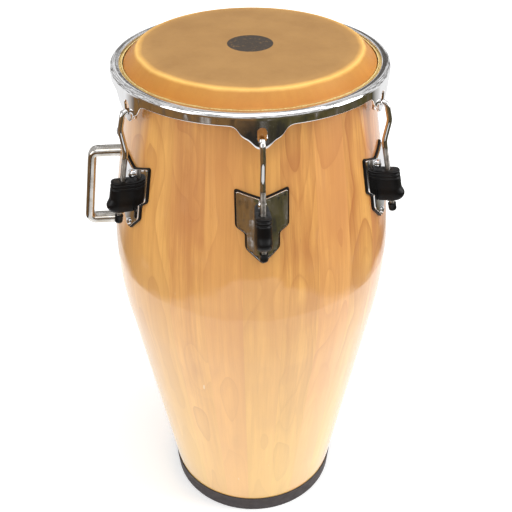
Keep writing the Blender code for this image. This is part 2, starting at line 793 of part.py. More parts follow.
def u_ring(down, front, half_width, back, steps=6):
    """One U-shaped section of the cover at a place along the leg, as points round the drum's frame."""
    start = min(COVER_FRONT - COVER_HALF_WIDTH, front - half_width)
    ring = [(back, -half_width)]
    for k in range(steps + 1):
        a = math.radians(-90.0 + 180.0 * k / steps)
        ring.append((start + (front - start) * math.cos(a), half_width * math.sin(a)))
    ring.append((back, half_width))
    points = []
    for outward, across in ring:
        r, z = leg_point(outward, down)
        points.append(place(r, across, z))
    return points


def lofted(name, rings, finish=None):
    """Skin a stack of unlike sections that have the same number of points, and close both ends."""
    mesh = bpy.data.meshes.new(name)
    work = bmesh.new()
    rows = [[work.verts.new(point) for point in ring] for ring in rings]
    count = len(rows[0])
    for upper, lower in zip(rows, rows[1:]):
        for k in range(count):
            after = (k + 1) % count
            work.faces.new((upper[k], upper[after], lower[after], lower[k]))
    work.faces.new(list(reversed(rows[0])))
    work.faces.new(rows[-1])
    bmesh.ops.recalc_face_normals(work, faces=work.faces)
    work.to_mesh(mesh)
    work.free()
    return link(name, mesh, finish)


def cover_sections():
    """How far down, how far forward and how wide each section of the cover is."""
    front, half = COVER_FRONT, COVER_HALF_WIDTH
    sections = [(0.0, front - COVER_LIP, half - COVER_LIP / 2), (COVER_LIP, front, half)]
    for groove in (FIRST_GROOVE, SECOND_GROOVE):
        sections += [
            (groove - GROOVE_HALF_WIDTH, front, half),
            (groove, front - GROOVE_DEPTH, half - GROOVE_DEPTH),
            (groove + GROOVE_HALF_WIDTH, front, half),
        ]
    flare = COVER_LENGTH - SECOND_GROOVE
    sections += [
        (SECOND_GROOVE + FLARE_STARTS * flare, front, half),
        (SECOND_GROOVE + FLARE_PEAKS * flare, front + COVER_FLARE, half),
        (SECOND_GROOVE + FLARE_ENDS * flare, front + COVER_FLARE, half),
        (COVER_LENGTH - COVER_LIP / 2, front, half),
        (COVER_LENGTH, front - COVER_LIP, half),
    ]
    return sections


def make_covers():
    """The black rubber cover over each bracket: grooved at the top, flared at the bottom."""
    back = shell_radius(LEG_HEIGHT) - LEG_RADIUS - GAP
    rings = [u_ring(down, front, half, back) for down, front, half in cover_sections()]
    cover = lofted("lug_cover", rings, BLACK_RUBBER)
    inside = [
        u_ring(down, COVER_FRONT - COVER_WALL, COVER_HALF_WIDTH - COVER_WALL, 2 * back)
        for down in (COVER_WALL, COVER_LENGTH + COVER_WALL)
    ]
    cavity = as_cutter(lofted("cover_cavity", inside))
    hole = rod_between("cover_hole", on_leg(-COVER_WALL), on_leg(2 * COVER_WALL), ROD_RADIUS + 2 * GAP)
    boolean(cover, seat_cutter("plate_seat", PLATE_FACE + GAP), "DIFFERENCE")
    boolean(cover, cavity, "DIFFERENCE")
    boolean(cover, as_cutter(hole), "DIFFERENCE")
    on_each_lug("lug_cover", smooth(bake(cover)))


def cap_start():
    """How far down the leg the rod's end cap begins."""
    return COVER_LENGTH + CAP_DROP


def make_rods():
    """The hooked rod of each lug, with a soft cap on its end."""
    end = cap_start() + CAP_LENGTH - CAP_FLOOR - GAP
    knee = LEG_RADIUS - (KNEE_HEIGHT - LEG_HEIGHT) * math.tan(ROD_LEAN)
    corners = [
        leg_point(0.0, end),
        (knee, KNEE_HEIGHT),
        (BOW_RADIUS, BOW_HEIGHT),
        (SHOULDER_RADIUS, HOOK_HEIGHT),
        (HOOK_RADIUS, HOOK_HEIGHT),
        (HOOK_RADIUS, HOOK_HEIGHT - HOOK_TIP),
    ]
    bends = [KNEE_BEND, BOW_BEND, SHOULDER_BEND, HOOK_BEND]
    path = rounded_path([place(r, 0.0, z) for r, z in corners], bends)
    rod = wire("tension_rod", path, ROD_RADIUS, CHROME)
    on_each_lug("tension_rod", smooth(rod), origin=on_leg(0.0))
    bore = ROD_RADIUS + GAP
    outside = bore + CAP_WALL
    top, bottom = cap_start(), cap_start() + CAP_LENGTH
    floor = bottom - CAP_FLOOR
    profile = [(0.0, floor), (bore, floor), (bore, top), (outside, top), (outside, floor)]
    profile += [(outside - CAP_WALL / 2, bottom - CAP_FLOOR / 4), (outside - 2 * CAP_WALL, bottom)]
    profile += [(0.0, bottom)]
    cap = turned_on_leg("rod_end_cap", profile, 12, BLACK_RUBBER)
    on_each_lug("rod_end_cap", smooth(cap), origin=on_leg(0.0))


def make_nuts():
    """The hexagon nut under each bracket, on the rod's thread."""
    top = bracket_low() + GAP
    corner = NUT_ACROSS_FLATS / math.sqrt(3.0)
    nut = rod_between("tuning_nut", on_leg(top), on_leg(top + NUT_HEIGHT), corner, 6, CHROME)
    start, end = on_leg(top - NUT_HEIGHT), on_leg(top + 2 * NUT_HEIGHT)
    bore = rod_between("nut_bore", start, end, ROD_RADIUS + GAP)
    boolean(nut, as_cutter(bore), "DIFFERENCE")
    on_each_lug("tuning_nut", bake(nut), origin=on_leg(top))


def united(name, pieces, finish):
    """Overlapping bodies joined into one."""
    body = pieces[0]
    body.name = name
    body.data.materials.append(finish)
    for other in pieces[1:]:
        boolean(body, as_cutter(other), "UNION")
    return body


def recess_bars(point, outward):
    """The two bars of a cross recess, sunk into a screw's head from its face."""
    sunk, proud = point - outward * RECESS_DEPTH, point + outward * RECESS_DEPTH
    bars = []
    for across, along in ((1.0, RECESS_SLIMNESS), (RECESS_SLIMNESS, 1.0)):
        bar = rod_between("recess", sunk, proud, RECESS_REACH, 4)
        spread = Matrix.Diagonal((across, 1.0, along, 1.0))
        turn = Matrix.Rotation(math.radians(45.0), 4, "Y")
        bar.data.transform(Matrix.Translation(point) @ spread @ turn @ Matrix.Translation(-point))
        bars.append(bar)
    return bars


def make_lug_screws(name, height, head_radius, head_height, recessed):
    """A headed screw through plate, gasket and shell, with its washer and nut inside the shell."""
    point, outward = through_shell(height)
    face = rise_over(height, head_radius, PLATE_FACE) + GAP
    washer = fall_under(height, WASHER_RADIUS) + GAP
    nut = washer + WASHER_THICKNESS - GAP
    end = nut + INNER_NUT_HEIGHT
    corner = INNER_NUT_ACROSS_FLATS / math.sqrt(3.0)
    tip = point - outward * (end + SHANK_BEYOND_NUT)
    under_head = point + outward * face
    top = under_head + outward * head_height
    seat, under_washer = point - outward * washer, point - outward * (washer + WASHER_THICKNESS)
    pieces = [
        rod_between("shank", under_head + outward * GAP, tip, BOLT_RADIUS, 8),
        rod_between("head", under_head, top, head_radius, 12, None, HEAD_TAPER * head_radius),
        rod_between("washer", seat, under_washer, WASHER_RADIUS),
        rod_between("nut", point - outward * nut, point - outward * end, corner, 6),
    ]
    body = united(name, pieces, CHROME)
    if recessed:
        for bar in recess_bars(top, outward):
            boolean(body, as_cutter(bar), "DIFFERENCE")
    on_each_lug(name, smooth(bake(body)), origin=point)


def handle_outline():
    """The handle from the side: two legs out of the shell and a grip that leans with it."""
    half = HANDLE_THICKNESS / 2
    top_grip = shell_radius(HANDLE_TOP) + HANDLE_STANDOFF
    low_grip = shell_radius(HANDLE_BOTTOM) + HANDLE_STANDOFF
    lean = math.atan2(low_grip - top_grip, HANDLE_TOP - HANDLE_BOTTOM)
    across = half / math.cos(lean)

    def grip(height, side):
        share = (HANDLE_TOP - height) / (HANDLE_TOP - HANDLE_BOTTOM)
        return top_grip + (low_grip - top_grip) * share + side * across

    def loop(side):
        rise = HANDLE_TOP + side * half
        fall = HANDLE_BOTTOM - side * half
        root = BELLY_RADIUS - STAVE_THICKNESS
        return [(root, rise), (grip(rise, side), rise), (grip(fall, side), fall), (root, fall)]

    def rounded(corners, radius):
        path = rounded_path([Vector((r, z, 0.0)) for r, z in corners], [radius, radius], 30.0)
        return [(point.x, point.y) for point in path]

    outer = rounded(loop(1.0), HANDLE_OUTER_CORNER)
    inner = rounded(loop(-1.0), HANDLE_INNER_CORNER)
    return outer + list(reversed(inner))


def make_handle():
    """The chrome handle, screwed on from inside the shell through each leg."""
    handle = side_block("handle", handle_outline(), HANDLE_WIDTH, CHROME)
    edges = handle.modifiers.new("rounded_edges", "BEVEL")
    edges.width = HANDLE_EDGE
    edges.segments = 2
    edges.limit_method = "ANGLE"
    edges.angle_limit = math.radians(60.0)
    low, high = HANDLE_BOTTOM - HANDLE_WIDTH, HANDLE_TOP + HANDLE_WIDTH
    shell_side = as_cutter(band("handle_seat", -3 * STAVE_THICKNESS, GAP, low, high))
    boolean(handle, shell_side, "DIFFERENCE")
    pieces = [handle]
    for name, height in (("handle_screw_top", HANDLE_TOP), ("handle_screw_bottom", HANDLE_BOTTOM)):
        slant = WASHER_RADIUS * math.tan(max(NECK_TAPER, FOOT_TAPER))
        washer = shell_radius(height) - STAVE_THICKNESS - flat_sag(WASHER_RADIUS) - slant - GAP
        head = washer - WASHER_THICKNESS + GAP
        tip = shell_radius(height) + HANDLE_SCREW_BITE

        def bar(piece, start, end, radius, sides=12, at=height):
            return rod_between(piece, place(start, 0.0, at), place(end, 0.0, at), radius, sides)

        bore = bar("handle_bore", washer, tip + GAP, HANDLE_SCREW_RADIUS + GAP)
        boolean(handle, as_cutter(bore), "DIFFERENCE")
        stack = [
            bar("shank", head - GAP, tip, HANDLE_SCREW_RADIUS, 8),
            bar("washer", washer - WASHER_THICKNESS, washer, WASHER_RADIUS),
            bar("head", head - HANDLE_SCREW_HEAD_HEIGHT, head, HANDLE_SCREW_HEAD_RADIUS, 6),
        ]
        pieces.append(united(name, stack, STEEL))
    for piece in pieces:
        smooth(bake(piece), 30.0)
        turn = Matrix.Rotation(math.radians(HANDLE_AZIMUTH), 4, "Z")
        piece.matrix_local = turn @ piece.matrix_local


def centre_footprint():
    """Move the drum so that the middle of its box, on the floor, is the origin."""
    bpy.context.view_layer.update()
    corners = [
        obj.matrix_world @ Vector(corner)
        for obj in PARTS.objects
        if obj.type == "MESH"
        for corner in obj.bound_box
    ]
    for axis in (0, 1):
        values = [corner[axis] for corner in corners]
        DRUM.location[axis] -= (min(values) + max(values)) / 2
    bpy.context.view_layer.update()


make_shell()
make_bottom_ring()
make_head()
make_hoop()
make_rim()
make_side_plates()
make_covers()
make_rods()
make_nuts()
make_lug_screws("plate_bolt", BOLT_HEIGHT, BOLT_HEAD_RADIUS, BOLT_HEAD_HEIGHT, False)
make_lug_screws("plate_screw", SCREW_HEIGHT, SCREW_HEAD_RADIUS, SCREW_HEAD_HEIGHT, True)
make_handle()
centre_footprint()
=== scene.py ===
# %% [markdown]
# # A conga
#
# A conga is a barrel of glued wooden staves that stands on the floor. A thick skin closes its top. A
# steel ring, the flesh hoop, holds the skin's edge, and a chrome rim sits on that hoop. Six hooked rods
# pull the rim down, so the drum is tuned with a spanner. In this lesson each of those pieces is built
# round a set of plain solids that already have the right size and place. We load them first, because
# everything else takes its position from them.

import json
import math

import bmesh
import bpy
import numpy as np
from mathutils import Matrix, Vector

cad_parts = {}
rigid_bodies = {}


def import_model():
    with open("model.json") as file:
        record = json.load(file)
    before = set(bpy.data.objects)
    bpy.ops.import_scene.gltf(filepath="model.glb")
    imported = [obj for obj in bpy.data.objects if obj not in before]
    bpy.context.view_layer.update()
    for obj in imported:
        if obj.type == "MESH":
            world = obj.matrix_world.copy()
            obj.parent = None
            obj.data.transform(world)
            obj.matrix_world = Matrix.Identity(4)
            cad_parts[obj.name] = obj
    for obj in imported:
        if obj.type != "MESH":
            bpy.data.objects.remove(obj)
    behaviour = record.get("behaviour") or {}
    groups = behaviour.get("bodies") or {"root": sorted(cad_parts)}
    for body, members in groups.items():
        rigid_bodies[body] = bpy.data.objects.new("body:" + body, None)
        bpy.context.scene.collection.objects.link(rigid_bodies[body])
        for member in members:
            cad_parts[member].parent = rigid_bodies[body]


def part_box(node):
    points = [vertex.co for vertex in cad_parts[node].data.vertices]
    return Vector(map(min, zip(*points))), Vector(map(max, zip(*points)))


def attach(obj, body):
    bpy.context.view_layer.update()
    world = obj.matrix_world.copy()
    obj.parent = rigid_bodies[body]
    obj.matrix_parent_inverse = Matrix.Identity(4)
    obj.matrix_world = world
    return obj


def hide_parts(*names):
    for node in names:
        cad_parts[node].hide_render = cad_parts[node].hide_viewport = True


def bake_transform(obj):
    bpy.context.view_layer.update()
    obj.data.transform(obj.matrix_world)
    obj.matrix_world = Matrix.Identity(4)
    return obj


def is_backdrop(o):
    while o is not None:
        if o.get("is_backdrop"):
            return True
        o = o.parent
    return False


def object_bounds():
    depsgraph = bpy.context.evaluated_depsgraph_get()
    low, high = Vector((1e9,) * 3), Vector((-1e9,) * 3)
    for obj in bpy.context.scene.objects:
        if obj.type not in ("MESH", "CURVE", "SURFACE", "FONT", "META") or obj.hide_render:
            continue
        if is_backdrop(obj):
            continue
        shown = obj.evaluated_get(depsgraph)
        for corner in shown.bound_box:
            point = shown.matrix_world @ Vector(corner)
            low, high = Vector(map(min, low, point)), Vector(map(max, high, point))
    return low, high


for left_over in list(bpy.data.objects):
    bpy.data.objects.remove(left_over, do_unlink=True)

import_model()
CAD_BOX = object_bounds()

# %% [markdown]
# ## Sizes
#
# Sizes that the solids can tell are read from them, so that the fine pieces always agree with the plain
# ones. What a box can't tell, such as the height of the belly, is written here by name. Lengths are in
# metres. The drum's axis isn't at the origin, because the handle on one side moves the middle of the
# box, so the axis gets a name of its own.

# %% Read the main sizes from the solids
SHELL_LOW, SHELL_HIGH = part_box("shell")
RIM_LOW, RIM_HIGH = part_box("rim")
AXIS_X = (SHELL_LOW.x + SHELL_HIGH.x) / 2
BELLY_RADIUS = (SHELL_HIGH.x - SHELL_LOW.x) / 2
HEAD_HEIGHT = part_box("head_skin")[1].z
RIM_RADIUS = (RIM_HIGH.x - RIM_LOW.x) / 2
RIM_TOP = RIM_HIGH.z
EAR_BOTTOM = RIM_LOW.z
HOOP_LOW, HOOP_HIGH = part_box("flesh_hoop")
HOOP_WIRE = (HOOP_HIGH.z - HOOP_LOW.z) / 2
HOOP_HEIGHT = (HOOP_HIGH.z + HOOP_LOW.z) / 2
HOOP_RADIUS = (HOOP_HIGH.x - HOOP_LOW.x) / 2 - HOOP_WIRE
SKIRT_RADIUS = (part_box("head_skin")[1].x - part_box("head_skin")[0].x) / 2
RING_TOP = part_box("bottom_ring")[1].z
RING_RADIUS = (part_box("bottom_ring")[1].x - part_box("bottom_ring")[0].x) / 2
LUGS = [math.radians(60.0 * k) for k in range(6)]
print(f"belly radius {BELLY_RADIUS:.4f}, head at {HEAD_HEIGHT:.3f}, rim radius {RIM_RADIUS:.4f}")

# %% [markdown]
# The rest describes the barrel, its open ends and the skin that bends over its upper edge. A box only
# tells the largest radius, so the foot's radius, the height of the belly and the roundness of its bend
# stand here.

# %% Sizes that a box can't tell
FOOT_RADIUS = 0.1302
BELLY_HEIGHT = 0.466
BEND_RADIUS = 0.571
NECK_RADIUS = 0.156
NECK_HEIGHT = HEAD_HEIGHT - 0.007
STAVE_THICKNESS = 0.012
STAVE_COUNT = 24
SKIN_THICKNESS = 0.0015
LIP_RADIUS = 0.010
LIP_CENTRE_RADIUS = 0.1413
print(f"foot radius {FOOT_RADIUS:.4f}, {STAVE_COUNT} staves {STAVE_THICKNESS * 1000:.0f} mm thick")

# %% [markdown]
# ## The barrel's outline
#
# A cooper bends each stave only in its middle. So the outline is a straight taper at the foot, an arc at
# the belly and a straight taper at the neck, and the tapers touch the arc without a corner. One function
# gives the radius at any height, and every plate, gasket and handle that sits on the wood asks it.

# %% The radius of the barrel at any height


def taper(radius, run):
    """The angle of the straight taper that leaves the belly's arc and ends at this radius."""
    across = radius - (BELLY_RADIUS - BEND_RADIUS)
    return math.atan2(run, across) - math.acos(BEND_RADIUS / math.hypot(run, across))


FOOT_TAPER = taper(FOOT_RADIUS, BELLY_HEIGHT)
NECK_TAPER = taper(NECK_RADIUS, NECK_HEIGHT - BELLY_HEIGHT)
BEND_LOW = BELLY_HEIGHT - BEND_RADIUS * math.sin(FOOT_TAPER)
BEND_HIGH = BELLY_HEIGHT + BEND_RADIUS * math.sin(NECK_TAPER)


def stave_radius(height):
    """The outer radius of the wood at a height."""
    if height < BEND_LOW:
        return FOOT_RADIUS + height * math.tan(FOOT_TAPER)
    if height > BEND_HIGH:
        return NECK_RADIUS + (NECK_HEIGHT - height) * math.tan(NECK_TAPER)
    rise = height - BELLY_HEIGHT
    return BELLY_RADIUS - BEND_RADIUS + math.sqrt(BEND_RADIUS**2 - rise**2)


def stave_lean(height):
    """How far the wood leans in at a height, as an angle; it is negative below the belly."""
    step = 0.002
    return math.atan2(stave_radius(height - step) - stave_radius(height + step), 2 * step)


print(f"tapers: foot {math.degrees(FOOT_TAPER):.1f}, neck {math.degrees(NECK_TAPER):.1f} degrees")

# %% [markdown]
# ## Tools for round work
#
# Nearly everything on a drum is round or is bent round something. Blender can spin a profile with the
# Screw modifier, but here most pieces aren't quite round: the rim has ears and the rubber covers are
# flat at the back. One helper covers all of them. It takes a list of rings with the same number of
# points and joins each ring to the next with four-sided faces. A turned piece, a bent tube and a loft
# differ only in how their rings are worked out.

# %% A helper that skins a list of rings


def skin_rings(name, rings, joined_ends=False, capped=False, crease=40.0):
    """A mesh object from closed rings of points; joined_ends links the last ring to the first."""
    count = len(rings[0])
    points = [tuple(point) for ring in rings for point in ring]
    faces = []
    for row in range(len(rings) if joined_ends else len(rings) - 1):
        here = row * count
        there = (row + 1) % len(rings) * count
        for k in range(count):
            after = (k + 1) % count
            faces.append((here + k, there + k, there + after, here + after))
    if capped:
        faces.append(tuple(range(count)))
        faces.append(tuple(reversed(range(len(points) - count, len(points)))))
    mesh = bpy.data.meshes.new(name)
    mesh.from_pydata(points, [], faces)
    return finish_mesh(name, mesh, crease)


def finish_mesh(name, mesh, crease=40.0):
    """Weld doubles, turn the faces outwards, shade smooth and keep the real edges sharp."""
    work = bmesh.new()
    work.from_mesh(mesh)
    bmesh.ops.remove_doubles(work, verts=work.verts, dist=0.000002)
    bmesh.ops.recalc_face_normals(work, faces=work.faces)
    work.to_mesh(mesh)
    work.free()
    mesh.shade_smooth()
    mesh.set_sharp_from_angle(angle=math.radians(crease))
    piece = bpy.data.objects.new(name, mesh)
    bpy.context.scene.collection.objects.link(piece)
    return piece


print("ring helpers are ready")

# %% [markdown]
# The turned pieces are drawn as half sections: points of (radius, height), as on a turner's template.
# These helpers carry such points round the axis and draw the arcs and straight runs that sections are
# made of.

# %% Points round the axis, and the lines of a section


def around(radius, azimuth, height):
    """A point at a distance from the drum's axis; azimuth 0 is towards -Y, where the first lug is."""
    return Vector((AXIS_X + radius * math.sin(azimuth), -radius * math.cos(azimuth), height))


def lathe(name, profile, steps=288, crease=40.0, closed=True):
    """Turn an outline of (radius, height) points round the drum's axis."""
    turns = [2 * math.pi * k / steps for k in range(steps)]
    rings = [[around(radius, azimuth, height) for azimuth in turns] for radius, height in profile]
    return skin_rings(name, rings, joined_ends=closed, crease=crease)


def arc(centre, radius, start, end, steps):
    """Points of an arc, with its angles in degrees from the outward direction."""
    angles = [math.radians(start + (end - start) * k / steps) for k in range(steps + 1)]
    return [(centre[0] + radius * math.cos(a), centre[1] + radius * math.sin(a)) for a in angles]


def between(start, end, steps):
    """Points on a straight line, without its two ends."""
    return [tuple(a + (b - a) * k / steps for a, b in zip(start, end)) for k in range(1, steps)]


print("a quarter arc in 4 steps ends at", [round(v, 3) for v in arc((0.0, 0.0), 1.0, 0.0, 90.0, 4)[-1]])

# %% [markdown]
# ## Tools for materials
#
# Every finish here is a node tree: numbers worked out at each point of the surface, with no picture.
# Building trees by hand takes many lines, so a small class keeps them short. It starts from a Principled
# shader and has one method for each node that we use often. The pattern is read from object
# coordinates, so it is fixed to the piece and moves with it.

# %% A small class for finishes


def seen(red, green, blue):
    """A colour as it looks on a screen, 0 to 255, turned into the linear values that shaders use."""
    def linear(value):
        value /= 255.0
        return value / 12.92 if value <= 0.04045 else ((value + 0.055) / 1.055) ** 2.4

    return (linear(red), linear(green), linear(blue), 1.0)


class Finish:
    """One material: its Principled shader, and short ways to feed it."""

    def __init__(self, name, colour, roughness, metallic=0.0, **sockets):
        self.material = bpy.data.materials.new(name)
        self.material.use_nodes = True
        self.tree = self.material.node_tree
        self.shader = self.tree.nodes["Principled BSDF"]
        self.place = self.tree.nodes.new("ShaderNodeTexCoord").outputs["Object"]
        self.feed("Base Color", colour)
        self.feed("Roughness", roughness)
        self.feed("Metallic", metallic)
        for socket, value in sockets.items():
            self.feed(socket.replace("_", " "), value)

    def plug(self, socket, value):
        """Link a socket, or set a constant on it."""
        if isinstance(value, bpy.types.NodeSocket):
            self.tree.links.new(value, socket)
        else:
            socket.default_value = value

    def feed(self, name, value):
        self.plug(self.shader.inputs[name], value)

    def math(self, operation, *values):
        node = self.tree.nodes.new("ShaderNodeMath")
        node.operation = operation
        for socket, value in zip(node.inputs, values):
            self.plug(socket, value)
        return node.outputs[0]

    def split(self, vector):
        node = self.tree.nodes.new("ShaderNodeSeparateXYZ")
        self.plug(node.inputs[0], vector)
        return node.outputs

    def vector(self, x, y, z):
        node = self.tree.nodes.new("ShaderNodeCombineXYZ")
        for socket, value in zip(node.inputs, (x, y, z)):
            self.plug(socket, value)
        return node.outputs[0]

    def noise(self, vector, scale, detail=3.0, roughness=0.5, distortion=0.0):
        node = self.tree.nodes.new("ShaderNodeTexNoise")
        for name, value in (
            ("Vector", vector),
            ("Scale", scale),
            ("Detail", detail),
            ("Roughness", roughness),
            ("Distortion", distortion),
        ):
            self.plug(node.inputs[name], value)
        return node.outputs["Fac"]

    def random(self, number):
        """Three random values, as a colour, from one whole number."""
        node = self.tree.nodes.new("ShaderNodeTexWhiteNoise")
        node.noise_dimensions = "1D"
        self.plug(node.inputs["W"], number)
        return self.split(node.outputs["Color"])

    def span(self, value, low, high, to_low=0.0, to_high=1.0):
        """Stretch the stretch of a value from low to high over another range."""
        node = self.tree.nodes.new("ShaderNodeMapRange")
        for socket, given in zip(node.inputs, (value, low, high, to_low, to_high)):
            self.plug(socket, given)
        return node.outputs[0]

    def ramp(self, value, stops):
        """Colours along a value: stops are (place, colour)."""
        node = self.tree.nodes.new("ShaderNodeValToRGB")
        elements = node.color_ramp.elements
        while len(elements) < len(stops):
            elements.new(0.5)
        for element, (place, colour) in zip(elements, stops):
            element.position = place
            element.color = colour
        self.plug(node.inputs[0], value)
        return node.outputs[0]

    def mix(self, share, first, second, blend="MIX"):
        node = self.tree.nodes.new("ShaderNodeMix")
        node.data_type = "RGBA"
        node.blend_type = blend
        self.plug(node.inputs[0], share)
        self.plug(node.inputs[6], first)
        self.plug(node.inputs[7], second)
        return node.outputs[2]

    def bump(self, height, distance, socket="Normal"):
        """Raise the surface by a distance where the height is 1."""
        node = self.tree.nodes.new("ShaderNodeBump")
        node.inputs["Strength"].default_value = 1.0
        node.inputs["Distance"].default_value = distance
        self.plug(node.inputs["Height"], height)
        self.feed(socket, node.outputs[0])


print("mid grey on a screen is", round(seen(128, 128, 128)[0], 3), "in a shader")

# %% [markdown]
# Each finished piece needs three more things: its material, the body that it moves with, and the plain
# solids that it stands for hidden. One short function does that for every piece below, so that none is
# forgotten.

# %% Give a piece its material and its body


def wear(piece, finish, body, slot, *nodes):
    """Give a piece its material and its body, and hide the solids it stands for."""
    piece.data.materials.append(finish.material)
    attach(piece, body)
    if nodes:
        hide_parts(*nodes)
    return piece


# %% [markdown]
# ## Light, floor and camera
#
# The photograph was taken from above and close by, so the drum narrows strongly towards the foot. The
# camera below has the distance, height and tilt that make the rim, the foot and the lugs fall where the
# photograph has them. It turns round the drum's own axis, and three small angles then aim it.

# %% Camera
CAMERA_DISTANCE = 1.00325
CAMERA_HEIGHT = 1.13289
CAMERA_AZIMUTH = math.radians(-4.1)
CAMERA_YAW = 0.0064537
CAMERA_PITCH = 0.612008
CAMERA_ROLL = -0.0038503
CAMERA_LENS = 56.73

camera = bpy.data.objects.new("camera", bpy.data.cameras.new("camera"))
bpy.context.scene.collection.objects.link(camera)
bpy.context.scene.camera = camera
camera.data.lens = CAMERA_LENS
camera.data.sensor_width = 36.0
ahead = Vector((
    math.sin(CAMERA_YAW) * math.cos(CAMERA_PITCH),
    math.cos(CAMERA_YAW) * math.cos(CAMERA_PITCH),
    -math.sin(CAMERA_PITCH),
))
level = Vector((math.cos(CAMERA_YAW), -math.sin(CAMERA_YAW), 0.0))
upward = level.cross(ahead)
right = math.cos(CAMERA_ROLL) * level + math.sin(CAMERA_ROLL) * upward
top = -math.sin(CAMERA_ROLL) * level + math.cos(CAMERA_ROLL) * upward
turned = Matrix((right, top, -ahead)).transposed().to_4x4()
swing = Matrix.Rotation(CAMERA_AZIMUTH, 4, "Z")
stand = Matrix.Translation((AXIS_X, 0.0, 0.0))
camera.matrix_world = stand @ swing @ Matrix.Translation((0.0, -CAMERA_DISTANCE, CAMERA_HEIGHT)) @ turned
print("camera at", [round(value, 3) for value in camera.matrix_world.translation])

# %% [markdown]
# The drum stands on white. A big floor takes its soft shadow, and its paper also glows faintly for the
# camera, more and more with the distance, so that it fades into the white world without an edge. The
# glow is left out of the light on the drum: Light Path tells which kind of ray is asking.

# %% Floor
bpy.context.scene.view_settings.view_transform = "Standard"
FLOOR_HALF = 9.0

floor_mesh = bpy.data.meshes.new("floor")
floor_corners = [(sx * FLOOR_HALF, sy * FLOOR_HALF, 0.0) for sx, sy in ((-1, -1), (1, -1), (1, 1), (-1, 1))]
floor_mesh.from_pydata(floor_corners, [], [(0, 1, 2, 3)])
floor = bpy.data.objects.new("floor", floor_mesh)
bpy.context.scene.collection.objects.link(floor)
floor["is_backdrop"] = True

paper = Finish("pale_floor", (0.86, 0.86, 0.86, 1.0), 0.9)
paper.feed("Specular IOR Level", 0.0)
path = paper.tree.nodes.new("ShaderNodeLightPath")
seen_directly = paper.math("MAXIMUM", path.outputs["Is Camera Ray"], path.outputs["Is Glossy Ray"])
seen_directly = paper.math("MAXIMUM", seen_directly, path.outputs["Is Transmission Ray"])
paper.feed("Emission Color", (1.0, 1.0, 1.0, 1.0))
x, y, z = paper.split(paper.place)
away = paper.math("SQRT", paper.math("ADD", paper.math("MULTIPLY", x, x), paper.math("MULTIPLY", y, y)))
glow = paper.span(away, 0.5, 2.2, 0.3, 0.95)
paper.feed("Emission Strength", paper.math("MULTIPLY", seen_directly, glow))
floor_mesh.materials.append(paper.material)
print("floor reaches", FLOOR_HALF, "m each way")

# %% [markdown]
# The world works in the same way. It lights the drum a little, evenly, and it is fully white only where
# the camera looks past the drum or where glossy and clear surfaces show it.

# %% World
WORLD_LIGHT = 0.66

world = bpy.data.worlds.new("white_room")
bpy.context.scene.world = world
world.use_nodes = True
sky = world.node_tree.nodes["Background"]
ray = world.node_tree.nodes.new("ShaderNodeLightPath")
shown = ray.outputs["Is Camera Ray"]
for kind in ("Is Glossy Ray", "Is Transmission Ray"):
    either = world.node_tree.nodes.new("ShaderNodeMath")
    either.operation = "MAXIMUM"
    world.node_tree.links.new(shown, either.inputs[0])
    world.node_tree.links.new(ray.outputs[kind], either.inputs[1])
    shown = either.outputs[0]
level_of = world.node_tree.nodes.new("ShaderNodeMapRange")
level_of.inputs["To Min"].default_value = WORLD_LIGHT
level_of.inputs["To Max"].default_value = 1.0
world.node_tree.links.new(shown, level_of.inputs["Value"])
world.node_tree.links.new(level_of.outputs[0], sky.inputs["Strength"])
sky.inputs["Color"].default_value = (1.0, 1.0, 1.0, 1.0)
print("world nodes:", len(world.node_tree.nodes))

# %% [markdown]
# The lamps are big and soft, because chrome and lacquer show a lamp's shape: a small lamp is a hard dot,
# a large one a calm band. Two stand at the sides like windows and one hangs overhead.

# %% Lamps


def soft_lamp(name, place, aim, width, height, watts):
    """A rectangular lamp that faces a point."""
    light = bpy.data.lights.new(name, "AREA")
    light.shape = "RECTANGLE"
    light.size = width
    light.size_y = height
    light.energy = watts
    lamp = bpy.data.objects.new(name, light)
    bpy.context.scene.collection.objects.link(lamp)
    lamp.location = place
    lamp.rotation_euler = (Vector(aim) - Vector(place)).to_track_quat("-Z", "Y").to_euler()
    return lamp


MIDDLE = (AXIS_X, 0.0, 0.4)
soft_lamp("window_left", (-1.9, -1.1, 1.5), MIDDLE, 1.2, 1.6, 15)
soft_lamp("window_right", (1.9, -0.5, 1.4), MIDDLE, 1.0, 1.6, 24)
soft_lamp("ceiling", (0.2, -0.4, 2.6), MIDDLE, 2.2, 1.6, 24)

# %% [markdown]
# Chrome is mostly a picture of what stands round it. In a plain white room it looks like grey paint, and
# lacquer loses its depth. So a dim room is turned round the drum: a dark floor that starts a little way
# off, walls with warm patches on one side and olive ones on the other, and a ceiling of bright and dark
# fields. Its finish only glows, and its colours come from two noises and the place in the room.

# %% The dim room's finish
room_finish = Finish("dim_room", (0.0, 0.0, 0.0, 1.0), 1.0)
room_finish.feed("Specular IOR Level", 0.0)
x, y, z = room_finish.split(room_finish.place)
patches = room_finish.noise(room_finish.place, 2.4, 4.0, 0.6)
brown_side = room_finish.ramp(patches, [
    (0.34, (0.05, 0.035, 0.025, 1)),
    (0.48, (0.26, 0.14, 0.05, 1)),
    (0.60, (0.14, 0.09, 0.05, 1)),
    (0.66, (0.50, 0.46, 0.42, 1)),
])
olive_side = room_finish.ramp(patches, [
    (0.34, (0.03, 0.03, 0.03, 1)),
    (0.48, (0.095, 0.08, 0.03, 1)),
    (0.60, (0.13, 0.11, 0.08, 1)),
    (0.66, (0.45, 0.43, 0.40, 1)),
])
dim = room_finish.mix(room_finish.span(x, AXIS_X - 0.06, AXIS_X + 0.02), brown_side, olive_side)
edge_x = room_finish.math("MULTIPLY", room_finish.math("SUBTRACT", x, AXIS_X), 1.85)
squares = [room_finish.math("MULTIPLY", side, side) for side in (edge_x, y)]
ragged = room_finish.span(patches, 0.3, 0.7, -0.13, 0.13)
